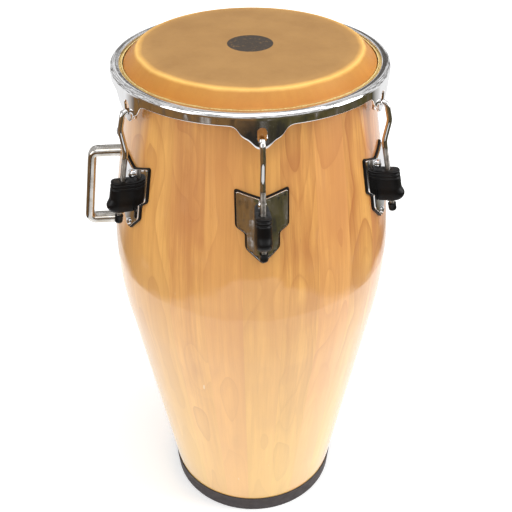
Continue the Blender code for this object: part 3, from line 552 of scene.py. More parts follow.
edge = room_finish.math("ADD", room_finish.math("SQRT", room_finish.math("ADD", *squares)), ragged)
near = room_finish.span(edge, 1.48, 1.32)
dark_band = room_finish.span(edge, 1.95, 1.60)
behind = room_finish.span(y, 0.5, 0.9)
shade = room_finish.noise(room_finish.place, 1.9, 4.0, 0.65)
shade = room_finish.span(shade, 0.46, 0.56)
overhead = room_finish.mix(shade, (1.0, 1.0, 1.0, 1), (0.12, 0.11, 0.10, 1))
floor_part = room_finish.mix(dark_band, dim, (0.03, 0.026, 0.022, 1))
floor_part = room_finish.mix(room_finish.math("MAXIMUM", near, behind), floor_part, (0.95, 0.95, 0.95, 1))
wall_part = room_finish.mix(room_finish.span(z, 1.1, 1.3), dim, overhead)
wall_part = room_finish.mix(behind, wall_part, overhead)
room_finish.feed("Emission Color", room_finish.mix(room_finish.span(z, 0.1, 0.12), floor_part, wall_part))
room_finish.feed("Emission Strength", 1.0)
print("nodes in the dim room's finish:", len(room_finish.tree.nodes))

# %% [markdown]
# The room itself is one band, turned like a bowl with a lid. Only reflections may see it: it is hidden
# from the camera, gives no light to matt surfaces and casts no shadow.

# %% Turn the dim room
ROOM_INNER = 0.75
ROOM_OUTER = 4.2
ROOM_HEIGHT = 3.2


def dim_room(name, line, steps=96):
    """A band turned round the drum from (radius, height) points, shown only in reflections."""
    turns = [2 * math.pi * k / steps for k in range(steps)]
    room = skin_rings(name, [[around(radius, turn, height) for turn in turns] for radius, height in line])
    room.visible_camera = False
    room.visible_diffuse = False
    room.visible_transmission = False
    room.visible_shadow = False
    room.data.materials.append(room_finish.material)
    room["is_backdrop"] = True
    return room


dim_room("dim_room", [
    (ROOM_INNER, 0.004), (ROOM_OUTER, 0.004), (ROOM_OUTER, ROOM_HEIGHT), (0.0, ROOM_HEIGHT),
])
print("room height", ROOM_HEIGHT)

# %% [markdown]
# ## The wood
#
# Rings of a tree are cylinders. A flat board cuts them almost lengthwise, which gives the long arches
# that joiners call cathedrals. The finish copies that: each stave gets its own imagined tree axis, a
# little behind the board and wandering along it, and the distance to that axis is cut into rings. Fine
# fibres, short dark pores and a slow change of tint lie over the rings.
#
# A knot pushes the rings aside. Each row below is a soft hill in the distance to the tree's axis: where
# it is, how wide and tall, how far it pushes, and how much it darkens the wood. The last row pushes
# nothing: it is painted shade, a wide dark patch high on the left, under the rim.

# %% Knots, and one patch of painted shade
KNOTS_AND_PAINTED_SHADE = [
    (-13.5, 0.192, 0.0075, 0.020, 0.016, 0.45),
    (-26.5, 0.612, 0.0090, 0.016, 0.014, 0.10),
    (-29.5, 0.348, 0.0150, 0.060, 0.034, 0.10),
    (27.0, 0.480, 0.0160, 0.070, 0.034, 0.05),
    (-30.0, 0.665, 0.0170, 0.045, 0.026, 0.15),
    (29.0, 0.612, 0.0100, 0.030, 0.018, 0.05),
    (-14.5, 0.300, 0.0100, 0.045, -0.020, 0.0),
    (13.5, 0.250, 0.0110, 0.060, 0.020, 0.05),
    (164.0, 0.300, 0.0080, 0.022, 0.016, 0.40),
    (106.0, 0.560, 0.0150, 0.060, 0.030, 0.10),
    # painted shade under the rim on the left; it pushes no rings and only darkens
    (-34.0, 0.640, 0.0420, 0.110, 0.0, 0.20),
]
print("knots and dark places:", len(KNOTS_AND_PAINTED_SHADE))

# %% [markdown]
# The function below writes the grain once, for the lacquered outside and for the bare inside. It uses
# the angle round the drum to find the stave, and a random number per stave to give each its own board.

# %% Grain that starts afresh on every stave
STAVE_ANGLE = 2 * math.pi / STAVE_COUNT
RING_SPACING = 0.0105


def stave_wood(name, light, dark, roughness, **sockets):
    """Wood grain that starts afresh on every stave; it returns the colour and what it was made from."""
    wood = Finish(name, light, roughness, **sockets)
    add, times = lambda a, b: wood.math("ADD", a, b), lambda a, b: wood.math("MULTIPLY", a, b)
    x, y, z = wood.split(wood.place)
    x = add(x, -AXIS_X)
    azimuth = wood.math("ARCTAN2", x, times(y, -1.0))
    turn = add(wood.math("DIVIDE", azimuth, STAVE_ANGLE), 0.5)
    off = add(wood.math("FRACT", turn), -0.5)
    radius = wood.math("SQRT", add(times(x, x), times(y, y)))
    across = times(times(off, STAVE_ANGLE), radius)
    first, second, third = wood.random(add(wood.math("FLOOR", turn), 41.7))
    fourth = wood.random(add(wood.math("FLOOR", turn), 7.3))[0]
    seed = times(first, 37.0)

    bend = wood.noise(wood.vector(times(across, 5.0), times(z, 3.2), seed), 1.0, 2.0)
    ripple = wood.noise(wood.vector(times(across, 34.0), times(z, 11.0), seed), 1.0, 2.0)
    sideways = add(across, wood.span(second, 0.0, 1.0, -0.016, 0.016))
    tilt = wood.span(first, 0.0, 1.0, 0.025, 0.085)
    behind = add(wood.span(fourth, 0.0, 1.0, -0.012, 0.018), times(z, tilt))
    behind = add(behind, wood.span(bend, 0.25, 0.75, -0.014, 0.014))
    wander = wood.noise(wood.vector(times(across, 17.0), times(z, 6.5), add(seed, 5.0)), 1.0, 1.5)
    distance = wood.math("SQRT", add(times(sideways, sideways), times(behind, behind)))
    distance = add(distance, wood.span(wander, 0.25, 0.75, -0.010, 0.010))
    distance = add(distance, wood.span(ripple, 0.2, 0.8, -0.0014, 0.0014))
    knots_and_painted_shade = 0.0
    for degrees, height, wide, tall, push, shade in KNOTS_AND_PAINTED_SHADE:
        aside = times(add(azimuth, -math.radians(degrees)), wood.math("DIVIDE", radius, wide))
        above = times(add(z, -height), 1 / tall)
        near = wood.math("EXPONENT", times(add(times(aside, aside), times(above, above)), -1.0))
        distance = add(distance, times(near, push))
        knots_and_painted_shade = add(knots_and_painted_shade, times(near, shade))
    count = wood.math("DIVIDE", distance, RING_SPACING)
    late = wood.ramp(wood.math("FRACT", count), [
        (0.0, (0.30, 0.30, 0.30, 1)),
        (0.10, (0.0, 0.0, 0.0, 1)),
        (0.60, (0.22, 0.22, 0.22, 1)),
        (0.88, (0.70, 0.70, 0.70, 1)),
        (0.95, (1.0, 1.0, 1.0, 1)),
    ])
    each = wood.random(add(wood.math("FLOOR", count), times(seed, 3.1)))[1]
    band = wood.random(add(wood.math("FLOOR", count), times(seed, 5.3)))[0]
    grain = add(times(late, wood.span(each, 0.0, 1.0, 0.1, 0.55)), times(band, 0.40))

    broad = wood.noise(wood.vector(times(across, 48.0), times(z, 2.6), seed), 1.0, 3.0, 0.6)
    streak = wood.noise(wood.vector(times(across, 170.0), times(z, 5.0), seed), 1.0, 4.0, 0.6)
    fibre = wood.noise(wood.vector(times(across, 620.0), times(z, 24.0), seed), 1.0, 3.0, 0.6)
    pricks = wood.noise(wood.vector(times(across, 1500.0), times(z, 70.0), seed), 1.0, 1.0)
    pores = wood.span(pricks, 0.66, 0.78)
    tint = wood.mix(grain, light, dark)
    tint = wood.mix(wood.span(broad, 0.40, 0.64, 0.0, 0.46), tint, dark)
    tint = wood.mix(wood.span(streak, 0.42, 0.66, 0.0, 0.34), tint, dark)
    # the knots darken the wood here, and so does the painted shade of the table's last row
    tint = wood.mix(knots_and_painted_shade, tint, seen(150, 92, 48))
    tint = wood.mix(wood.span(fibre, 0.40, 0.66, 0.0, 0.22), tint, dark)
    tint = wood.mix(times(pores, 0.25), tint, seen(120, 74, 36))
    return wood, tint, (across, z, off, third, fourth, seed)


bare_wood, bare_tint, _ = stave_wood("bare_staves", seen(206, 158, 104), seen(170, 116, 66), 0.75)
bare_wood.feed("Base Color", bare_tint)
print("nodes in the bare wood:", len(bare_wood.tree.nodes))

# %% [markdown]
# The outside is lacquered. Lacquer is a clear coat on top of the wood, with a slow wave in it, because
# wood under lacquer is never quite flat. The wood gets cloudy and each stave has a tint of its own. The
# lower part is mixed paler, up to 64 %, as painted light from the white floor, and small white specks
# low down are painted glints.

# %% The lacquered staves
WARM_LIGHT = seen(250, 190, 100)
WARM_DARK = seen(170, 96, 40)
LACQUER = {"Coat_Weight": 1.0, "Coat_Roughness": 0.05, "Coat_IOR": 1.55}
lacquered, tint, parts = stave_wood("lacquered_staves", WARM_LIGHT, WARM_DARK, 0.42, **LACQUER)
across, z, off, third, fourth, seed = parts


def stretched(along_arc, along_stave, *settings):
    """Noise on the lacquered wood, scaled apart round the drum and along the staves."""
    wide = lacquered.math("MULTIPLY", across, along_arc)
    tall = lacquered.math("MULTIPLY", z, along_stave)
    return lacquered.noise(lacquered.vector(wide, tall, seed), *settings)


# painted light: a mask that is 1 low on the shell, for the painted paleness and the painted glints
painted_low_light = lacquered.span(z, 0.57, 0.08)
clouds = stretched(0.8, 0.55, 17.0, 2.0)
tint = lacquered.mix(lacquered.span(clouds, 0.48, 0.72, 0.0, 0.60), tint, seen(182, 112, 58))
tint = lacquered.mix(lacquered.span(third, 0.0, 1.0, 0.0, 0.35), tint, seen(226, 150, 92))
tint = lacquered.mix(lacquered.span(fourth, 0.3, 1.0, 0.0, 0.35), tint, seen(240, 182, 96))
pale = lacquered.mix(third, seen(255, 218, 120), seen(255, 202, 124))
# painted light from the white floor, mixed into the wood's colour lower down
tint = lacquered.mix(lacquered.math("MULTIPLY", painted_low_light, 0.64), tint, pale)
# painted glints: small white specks, kept low on the shell
painted_glints = lacquered.span(stretched(150.0, 42.0, 1.0, 1.0), 0.80, 0.84, 0.0, 0.8)
tint = lacquered.mix(lacquered.math("MULTIPLY", painted_low_light, painted_glints), tint, seen(255, 240, 205))
joint = lacquered.span(lacquered.math("ABSOLUTE", off), 0.492, 0.499, 0.0, 0.06)
lacquered.feed("Base Color", lacquered.mix(joint, tint, seen(150, 92, 44)))
lacquered.bump(lacquered.noise(lacquered.place, 16.0, 2.0), 0.0006, "Coat Normal")
print("nodes in the lacquered wood:", len(lacquered.tree.nodes))

# %% [markdown]
# ## The shell
#
# The glued staves are one turned shape: outside, foot, inside and the rounded edge that the skin bends
# over. The points of the outline follow the radius function, close together on the belly and at the
# edge. The inside isn't lacquered, so its faces get a second material.

# %% Turn the shell
BEARING_GAP = SKIN_THICKNESS + 0.0002
INNER_TOP = stave_radius(HEAD_HEIGHT) - STAVE_THICKNESS
lip_centre = (LIP_CENTRE_RADIUS, HEAD_HEIGHT - LIP_RADIUS)
bearing = arc(lip_centre, LIP_RADIUS - BEARING_GAP, 84.0, 45.0, 10)
bearing = [point for point in bearing if point[0] > INNER_TOP]
collar_sum = bearing[-1][0] + bearing[-1][1]
shoulder_height = NECK_HEIGHT - (NECK_RADIUS - (collar_sum - NECK_HEIGHT)) / (1.0 - math.tan(NECK_TAPER))
foot_height = SHELL_LOW.z
outside_heights = np.linspace(shoulder_height, foot_height + 0.001, 90)
inside_heights = np.linspace(foot_height, HEAD_HEIGHT - 0.004, 60)
outside = [(stave_radius(height), height) for height in outside_heights]
foot_corner = [(stave_radius(0.0) - 0.001, foot_height)]
inside = [(stave_radius(height) - STAVE_THICKNESS, height) for height in inside_heights]
shell = lathe("stave_shell", bearing + outside + foot_corner + inside, crease=30.0)
wear(shell, lacquered, "drum", "stave_wood", "shell")
shell.data.materials.append(bare_wood.material)
for face in shell.data.polygons:
    spot = face.center
    reach = math.hypot(spot.x - AXIS_X, spot.y)
    if reach < stave_radius(spot.z) - STAVE_THICKNESS / 2:
        face.material_index = 1
print("shell faces:", len(shell.data.polygons))

# %% [markdown]
# ## Rubber
#
# The foot ring, the gaskets, the covers and the caps are all rubber, and no two are the same black. One
# function makes them: a dark colour under a bloom of dust, a roughness that drifts, and a fine grain.
# The foot ring is charcoal and not black, with more dust than the rest.

# %% Four rubbers


def rubber(name, colour, roughness, grain=2600.0, dust=0.25, dusty=(92, 88, 84)):
    """Moulded rubber: fine grain, a dull bloom of dust and a roughness that drifts."""
    made = Finish(name, colour, roughness)
    bloom = made.span(made.noise(made.place, 38.0, 4.0, 0.6), 0.45, 0.8, 0.0, dust)
    made.feed("Base Color", made.mix(bloom, colour, seen(*dusty)))
    rubbed = made.noise(made.place, 90.0, 3.0)
    made.feed("Roughness", made.span(rubbed, 0.3, 0.7, roughness - 0.08, roughness + 0.1))
    made.bump(made.noise(made.place, grain, 2.0), 0.00006)
    return made


ring_rubber = rubber("ring_rubber", seen(50, 42, 44), 0.6, 1400.0, 0.3, (92, 84, 82))
cover_rubber = rubber("cover_rubber", seen(9, 8, 9), 0.36, 2200.0, 0.10, (36, 34, 36))
gasket_rubber = rubber("gasket_rubber", seen(6, 6, 6), 0.45, 2400.0, 0.08, (26, 25, 25))
cap_rubber = rubber("cap_rubber", seen(6, 6, 6), 0.32, 2600.0, 0.08, (26, 25, 25))
for dull in (cover_rubber, gasket_rubber, cap_rubber):
    dull.feed("Specular IOR Level", 0.22)
print("rubbers:", [made.material.name for made in (ring_rubber, cover_rubber, gasket_rubber, cap_rubber)])

# %% [markdown]
# ## The foot ring
#
# A moulded rubber ring keeps the foot from slipping and from splitting. It is an L in section: a wall
# round the wood, thin at its top, and a ledge under it. Moulded rubber has soft corners, so each corner
# of the outline is an arc.

# %% Turn the foot ring
RING_EDGE = 0.0008
FLOOR_EDGE = 0.002
FLOOR_WALL = 0.0041
LEDGE = 0.004
RING_GAP = 0.0002
ring_inside = stave_radius(LEDGE) - 0.013
ring_wall = stave_radius(RING_TOP) + RING_GAP
ring_outline = arc((RING_RADIUS - RING_EDGE, RING_TOP - RING_EDGE), RING_EDGE, 90.0, 0.0, 6)
ring_outline += arc((FOOT_RADIUS + FLOOR_WALL - FLOOR_EDGE, FLOOR_EDGE), FLOOR_EDGE, 0.0, -90.0, 6)
ring_outline += arc((ring_inside + 0.0008, 0.0008), 0.0008, -90.0, -180.0, 3)
ring_outline += arc((ring_inside + 0.0008, 0.0032), 0.0008, 180.0, 90.0, 3)
ring_outline += [(stave_radius(LEDGE) + RING_GAP, LEDGE)]
ring_outline += [(ring_wall, RING_TOP - 0.0004), (ring_wall + 0.0002, RING_TOP)]
foot_ring = lathe("foot_ring", ring_outline)
wear(foot_ring, ring_rubber, "drum", "ring_rubber", "bottom_ring")
print("foot ring points in section:", len(ring_outline))

# %% [markdown]
# ## The skin
#
# The skin is one thick hide. It lies flat on top, bends over the lip, slopes down as the collar and
# dives inside the flesh hoop, where its edge is tucked round the wire and trimmed. When the drum is
# tuned the hoop comes down and the skirt stretches. The tucked edge moves with the rim.
#
# Its colour changes from the worn middle to the bright lip and the waxy collar, so the finish starts
# from the distance to the axis and only then adds mottle, streaks and pores. The lip's bright band is
# painted light: the glow of light through the thin hide where it bends, and its highlight. A plain dark
# disc is printed in the middle.

# %% The skin's finish
skin = Finish("hide", seen(170, 128, 74), 0.55)
x, y, z = skin.split(skin.place)
x = skin.math("SUBTRACT", x, AXIS_X)
reach = skin.math("SQRT", skin.math("ADD", skin.math("MULTIPLY", x, x), skin.math("MULTIPLY", y, y)))
drift = skin.noise(skin.place, 30.0, 3.0)
reach_seen = skin.math("ADD", reach, skin.span(drift, 0.3, 0.7, -0.0008, 0.0008))
zones = skin.ramp(
    skin.span(reach_seen, 0.125, 0.170),
    [
        (0.0, seen(168, 127, 74)),
        (0.28, seen(178, 135, 78)),
        # painted light: the next two stops brighten the lip, as light through the thin hide and its
        # highlight
        (0.37, seen(214, 164, 88)),
        (0.45, seen(246, 196, 108)),
        (0.53, seen(196, 138, 62)),
        (0.80, seen(192, 126, 48)),
        (1.0, seen(226, 180, 96)),
    ],
)
mottle = skin.noise(skin.place, 22.0, 5.0, 0.65)
greyer = skin.mix(1.0, zones, seen(204, 190, 176), "MULTIPLY")
cloudy = skin.mix(skin.span(mottle, 0.35, 0.7, 0.0, 0.35), zones, greyer)
angle = skin.math("ARCTAN2", x, y)
down_slope = skin.vector(skin.math("MULTIPLY", angle, 26.0), skin.math("MULTIPLY", z, 6.0), 0.0)
streak = skin.span(skin.noise(down_slope, 1.0, 4.0, 0.6), 0.4, 0.75, 0.0, 0.5)
on_collar = skin.span(reach, 0.146, 0.152)
streaked = skin.mix(skin.math("MULTIPLY", on_collar, streak), cloudy, seen(184, 118, 50))
pores = skin.span(skin.noise(skin.place, 900.0, 2.0), 0.6, 0.75, 0.0, 0.18)
hide = skin.mix(pores, streaked, seen(120, 84, 44))
DISC_RADIUS = 0.0300
disc = skin.math("MULTIPLY", skin.span(reach, DISC_RADIUS, DISC_RADIUS - 0.0006), 0.92)
rubbed = skin.noise(skin.place, 160.0, 4.0, 0.7)
worn = skin.math("MULTIPLY", disc, skin.span(rubbed, 0.28, 0.45, 0.55, 1.0))
skin.feed("Base Color", skin.mix(worn, hide, seen(44, 44, 44)))
skin.feed("Roughness", skin.span(reach, 0.138, 0.146, 0.62, 0.42))
skin.feed("Specular IOR Level", 0.25)
skin.bump(skin.noise(skin.place, 420.0, 4.0, 0.6), 0.00012)
print("nodes in the skin's finish:", len(skin.tree.nodes))

# %% [markdown]
# Where the skin was trimmed with a knife, its edge is pale and a little fuzzy. That is a finish of its
# own, for the last few millimetres above the hoop.

# %% The trimmed edge's finish
trimmed = Finish("trimmed_hide", seen(238, 214, 140), 0.6)
fuzz = trimmed.noise(trimmed.place, 500.0, 3.0)
fuzzy = trimmed.span(fuzz, 0.35, 0.7)
trimmed.feed("Base Color", trimmed.mix(fuzzy, seen(244, 226, 160), seen(206, 168, 96)))
trimmed.bump(fuzz, 0.0002)
print("nodes in the trimmed edge's finish:", len(trimmed.tree.nodes))

# %% [markdown]
# The skin's section is one line from the middle of the head to the hoop, and a second line under it at
# the skin's thickness. Two helpers make such lines: one moves a line sideways, the other rounds a
# corner with a quadratic curve. Then the lathe turns the outline, open at the middle.

# %% The skin from the middle to the hoop
COLLAR_SUM = LIP_CENTRE_RADIUS + HEAD_HEIGHT - LIP_RADIUS + math.sqrt(2.0) * LIP_RADIUS
TUCK_MIDDLE = HOOP_WIRE + 0.0003 + 0.00065


def offset_line(points, distance):
    """A line of (radius, height) points moved sideways, to the left of its direction."""
    moved = []
    for k, point in enumerate(points):
        before = Vector(points[max(k - 1, 0)])
        after = Vector(points[min(k + 1, len(points) - 1)])
        along = (after - before).normalized()
        moved.append((point[0] - along.y * distance, point[1] + along.x * distance))
    return moved


def soft_corner(first, corner, last, radius, steps=8):
    """Points of a curve that rounds a corner between two lines."""
    corner = Vector(corner)
    a = corner + (Vector(first) - corner).normalized() * radius
    b = corner + (Vector(last) - corner).normalized() * radius
    shares = [k / steps for k in range(steps + 1)]
    return [tuple((1 - t) ** 2 * a + 2 * t * (1 - t) * corner + t**2 * b) for t in shares]


collar_foot = (SKIRT_RADIUS, COLLAR_SUM - SKIRT_RADIUS)
skirt_end = (HOOP_RADIUS - TUCK_MIDDLE + 0.0006, HOOP_HEIGHT - 0.0015)
top_line = [(r, HEAD_HEIGHT) for r in (0.0, 0.004, 0.02, 0.04, 0.06, 0.08, 0.10, 0.12, 0.134)]
top_line += arc(lip_centre, LIP_RADIUS, 90.0, 45.0, 12)
top_line += between(top_line[-1], collar_foot, 8)[:-1]
top_line += soft_corner(top_line[-1], collar_foot, skirt_end, 0.0022)
top_line += between(top_line[-1], skirt_end, 8) + [skirt_end]
under_line = [(max(r, 0.0), h) for r, h in offset_line(top_line, -SKIN_THICKNESS)]
under_line[0] = (0.0, HEAD_HEIGHT - SKIN_THICKNESS)
drum_skin = lathe("drum_skin", top_line + list(reversed(under_line)), closed=False)
print("skin points:", len(drum_skin.data.vertices))

# %% [markdown]
# A real hide isn't perfectly flat, and its collar has faint pleats where it was pulled. Small moves of
# the vertices in code do that better than a texture, because the outline changes too.

# %% Pull faint pleats into the collar


def ramp_up(value, start, length):
    """0 before the start, 1 after the length, and straight between them."""
    return max(0.0, min(1.0, (value - start) / length))


for vertex in drum_skin.data.vertices:
    dx, dy = vertex.co.x - AXIS_X, vertex.co.y
    reach_at = math.hypot(dx, dy)
    if reach_at < 0.001:
        continue
    azimuth = math.atan2(dx, -dy)
    pleat = 0.6 * math.sin(11 * azimuth + 0.7) + 0.4 * math.sin(23 * azimuth + 2.1)
    on_slope = ramp_up(reach_at, 0.148, 0.006) * ramp_up(-reach_at, -0.1625, 0.004)
    shift = -0.00025 * (1 + pleat) * on_slope
    vertex.co.x += dx / reach_at * shift
    vertex.co.y += dy / reach_at * shift
    if reach_at < 0.12 and vertex.co.z > HEAD_HEIGHT - 0.001:
        vertex.co.z -= 0.0002 * math.sin(19 * reach_at / 0.12) ** 2
drum_skin.data.materials.append(skin.material)
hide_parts("head_skin")
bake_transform(drum_skin)
print("skin points after the pleats:", len(drum_skin.data.vertices))

# %% [markdown]
# The last part of the skin goes round the hoop's wire and comes up again inside the rim, where it was
# trimmed. It is a strip of the skin's thickness whose middle line is an arc round the wire. A real knife
# cut wavers, so the top of the strip rises and falls by a fraction of a millimetre.

# %% The tucked and trimmed edge
tuck_line = arc((HOOP_RADIUS, HOOP_HEIGHT), TUCK_MIDDLE, 190.0, 470.0, 36)
tuck_line += [(HOOP_RADIUS - 0.0029, HOOP_HEIGHT + 0.0047), (HOOP_RADIUS - 0.0037, HOOP_HEIGHT + 0.0082)]
outer = offset_line(tuck_line, 0.00065)
inner = offset_line(tuck_line, -0.00065)
tuck = lathe("tucked_edge", outer + list(reversed(inner)), crease=60.0)
wear(tuck, skin, "rim_and_hoop", "skin", "head_skin_tuck")
tuck.data.materials.append(trimmed.material)
for face in tuck.data.polygons:
    face.material_index = 1 if face.center.z > HOOP_HEIGHT + 0.0042 else 0
for vertex in tuck.data.vertices:
    if vertex.co.z > HOOP_HEIGHT + 0.006:
        azimuth = math.atan2(vertex.co.x - AXIS_X, -vertex.co.y)
        vertex.co.z += 0.0004 * math.sin(37 * azimuth) * math.sin(13 * azimuth + 1.0)
print("tucked edge points:", len(tuck.data.vertices))

# %% [markdown]
# ## Steel and chrome
#
# Plain steel is a soft grey mirror that is rougher in places. Chrome is a sharp one: nearly white, with
# the smudges of hands in its roughness and colour, and with a very slight wave, because pressed plate
# is never flat.

# %% Steel and chrome
steel = Finish("plain_steel", (0.52, 0.52, 0.53, 1.0), 0.35, 1.0)
steel.feed("Roughness", steel.span(steel.noise(steel.place, 180.0, 4.0), 0.3, 0.7, 0.25, 0.5))
steel.bump(steel.noise(steel.place, 700.0, 3.0), 0.00003)

chrome = Finish("chrome", (0.82, 0.82, 0.83, 1.0), 0.05, 1.0)
smudge = chrome.noise(chrome.place, 55.0, 4.0, 0.6)
chrome.feed("Roughness", chrome.span(smudge, 0.4, 0.8, 0.035, 0.12))
handled = chrome.span(smudge, 0.5, 0.85, 0.0, 0.5)
chrome.feed("Base Color", chrome.mix(handled, (0.84, 0.84, 0.85, 1), (0.7, 0.68, 0.64, 1)))
chrome.bump(chrome.noise(chrome.place, 45.0, 2.0), 0.0001)
print("metals:", steel.material.name, "and", chrome.material.name)

# %% [markdown]
# ## The flesh hoop
#
# Under the tuck is a plain steel ring of round wire. A torus would do, but the lathe helper already
# turns any outline, and a circle is one.

# %% Turn the hoop
hoop = lathe("hoop_wire", arc((HOOP_RADIUS, HOOP_HEIGHT), HOOP_WIRE, 0.0, 360.0, 20)[:-1])
wear(hoop, steel, "rim_and_hoop", "hoop_steel", "flesh_hoop")
print(f"hoop of {HOOP_WIRE * 2000:.1f} mm wire")

# %% [markdown]
# ## The rim
#
# The rim is pressed from steel plate. Its top rolls over in a smooth crest, its wall hangs down, and at
# each lug the wall drops into an ear with a slot for the rod's hook. It could be a turned ring with ears
# joined on, but a join spoils the reflections in chrome. So every column of points round the ring runs
# down the same section, and only the height of the wall's lower edge changes from column to column.
#
# The ear's outline is a list of pairs: how far from its middle, and which share of its full drop the
# wall has there. It falls in two steps, like a bracket in a printed text.

# %% The ear's outline
RIM_WALL = 0.003
RIM_CREST = 0.0055
WALL_BOTTOM = RIM_TOP - 0.015
EAR_DROP = WALL_BOTTOM - EAR_BOTTOM
EAR_POINTS = [(0.0, 1.0), (0.0035, 0.985), (0.0068, 0.93), (0.0095, 0.84), (0.0123, 0.73)]
EAR_POINTS += [(0.0148, 0.635), (0.0175, 0.575), (0.0205, 0.51), (0.0228, 0.455), (0.0245, 0.38)]
EAR_POINTS += [(0.0268, 0.25), (0.0295, 0.125), (0.0325, 0.045), (0.036, 0.01), (0.039, 0.0)]


def ear_drop(across):
    """How far the wall hangs below its usual edge, this far from the lug's middle."""
    across = abs(across)
    if across >= EAR_POINTS[-1][0]:
        return 0.0
    for (x0, d0), (x1, d1) in zip(EAR_POINTS, EAR_POINTS[1:]):
        if across <= x1:
            share = (across - x0) / (x1 - x0)
            return EAR_DROP * (d0 + (d1 - d0) * share)
    return 0.0


def rounded_drop(across):
    """The ear's outline with its corners smoothed by a short average."""
    window = np.linspace(-0.0014, 0.0014, 9)
    return float(np.mean([ear_drop(across + shift) for shift in window]))


def rim_columns():
    """Azimuths round the rim: close together at the ears, further apart between them."""
    columns = []
    fine = 0.0005 / RIM_RADIUS
    half_ear = 0.041 / RIM_RADIUS
    for lug in LUGS:
        columns += list(np.arange(lug - half_ear, lug + half_ear, fine))
        gap = math.radians(60.0) - 2 * half_ear
        columns += [lug + half_ear + gap * k / 50 for k in range(50)]
    return columns


print("an ear hangs", round(EAR_DROP * 1000, 1), "mm below the wall")

# %% [markdown]
# One function gives the section of the rim's plate for any drop: up the inside over the skin's edge,
# round the crest, down the wall, round the lower edge and up again behind it. Its points always come in
# the same number and order, so that neighbouring sections can be joined.

# %% Build the rim column by column
EDGE_ROUND = 0.0013


def rim_section(drop):
    """The closed outline of the rim's plate at one place: (radius, height)."""
    low = WALL_BOTTOM - drop
    outside = RIM_RADIUS
    inside = RIM_RADIUS - RIM_WALL
    brow = (HOOP_RADIUS + RIM_WALL / 2, RIM_TOP - RIM_WALL / 2)
    crest = (outside - RIM_CREST, RIM_TOP - RIM_CREST)
    line = arc(brow, RIM_WALL / 2, 270.0, 90.0, 8)
    line += arc(crest, RIM_CREST, 90.0, 0.0, 14)
    wall_top = line[-1]
    line += [(outside, wall_top[1] + (low + EDGE_ROUND - wall_top[1]) * k / 14) for k in range(1, 14)]
    line += arc((outside - EDGE_ROUND, low + EDGE_ROUND), EDGE_ROUND, 0.0, -90.0, 4)
    line += arc((inside + EDGE_ROUND, low + EDGE_ROUND), EDGE_ROUND, -90.0, -180.0, 4)
    inner_top = crest[1]
    line += [(inside, low + EDGE_ROUND + (inner_top - low - EDGE_ROUND) * k / 10) for k in range(1, 10)]
    line += arc(crest, RIM_CREST - RIM_WALL, 0.0, 90.0, 6)
    return line


columns = rim_columns()
rings = []
for azimuth in columns:
    nearest = min(LUGS, key=lambda lug: abs(math.remainder(azimuth - lug, 2 * math.pi)))
    across = math.remainder(azimuth - nearest, 2 * math.pi) * RIM_RADIUS
    rings.append([around(r, azimuth, h) for r, h in rim_section(rounded_drop(across))])
rim = skin_rings("chrome_rim", rings, joined_ends=True, crease=50.0)
print("rim columns:", len(columns), "points:", len(rim.data.vertices))

# %% [markdown]
# The slots are cut with a Boolean modifier, and so are the brackets' holes and the screws' recesses
# further down. The helper adds the modifier, asks Blender for the finished mesh, puts that in the
# piece's place and deletes the cutters, so that nothing is left to slow the scene down.

# %% A helper that cuts
CUT_SOLVER = "EXACT"


def cut(piece, cutters, crease=40.0):
    """Cut a piece with Boolean differences, apply them and remove the cutters."""
    for cutter in cutters:
        modifier = piece.modifiers.new("cut", "BOOLEAN")
        modifier.operation = "DIFFERENCE"
        modifier.solver = CUT_SOLVER
        modifier.object = cutter
    bpy.context.view_layer.update()
    graph = bpy.context.evaluated_depsgraph_get()
    mesh = bpy.data.meshes.new_from_object(piece.evaluated_get(graph))
    piece.modifiers.clear()
    piece.data = mesh
    mesh.shade_smooth()
    mesh.set_sharp_from_angle(angle=math.radians(crease))
    for cutter in cutters:
        bpy.data.objects.remove(cutter, do_unlink=True)
    return piece


print("cuts are worked out by the solver", CUT_SOLVER)

# %% [markdown]
# A slot's cutter is a stack of slot outlines that widens near the two faces of the plate. So the cut
# leaves a small chamfer, and the chamfer is what catches the light.

# %% Cut the slots
SLOT_HALF_WIDTH = 0.0055
SLOT_LOW = 0.7116
SLOT_HIGH = SLOT_LOW + 0.0187


def slot_ring(radius, grow, azimuth):
    """One outline of the slot at a distance from the axis, grown by a margin."""
    half = SLOT_HALF_WIDTH + grow
    upper = SLOT_HIGH - SLOT_HALF_WIDTH
    lower = SLOT_LOW + SLOT_HALF_WIDTH
    outline = arc((0.0, upper), half, 0.0, 180.0, 12) + arc((0.0, lower), half, 180.0, 360.0, 12)
    outward = Vector((math.sin(azimuth), -math.cos(azimuth), 0.0))
    side = Vector((math.cos(azimuth), math.sin(azimuth), 0.0))
    base = Vector((AXIS_X, 0.0, 0.0))
    return [base + outward * radius + side * across + Vector((0.0, 0.0, h)) for across, h in outline]


wall_inside = RIM_RADIUS - RIM_WALL
slot_stations = [(wall_inside - 0.004, 0.0035), (wall_inside + 0.0004, 0.0)]
slot_stations += [(RIM_RADIUS - 0.0006, 0.0), (RIM_RADIUS + 0.004, 0.0045)]
cutters = []
for number, lug in enumerate(LUGS):
    outlines = [slot_ring(radius, grow, lug) for radius, grow in slot_stations]
    cutters.append(skin_rings(f"slot_{number}", outlines, capped=True))
cut(rim, cutters, 38.0)
wear(rim, chrome, "rim_and_hoop", "chrome", "rim")
print("rim points after the cuts:", len(rim.data.vertices))

# %% [markdown]
# ## The lug's own frame
#
# The lower leg of each rod leans out by twelve degrees, and the bracket, nut, cover and cap all line up
# with it. It is easier to build them in a frame of their own: how far out from the leg, how far sideways
# and how far down along it. One function turns that into a point of the drum, for any of the six lugs.

# %% Points beside a rod's leg
LEAN = math.radians(12.0)
LEG_HEIGHT = HEAD_HEIGHT - 0.1375
LEG_RADIUS = stave_radius(LEG_HEIGHT) + 0.0181


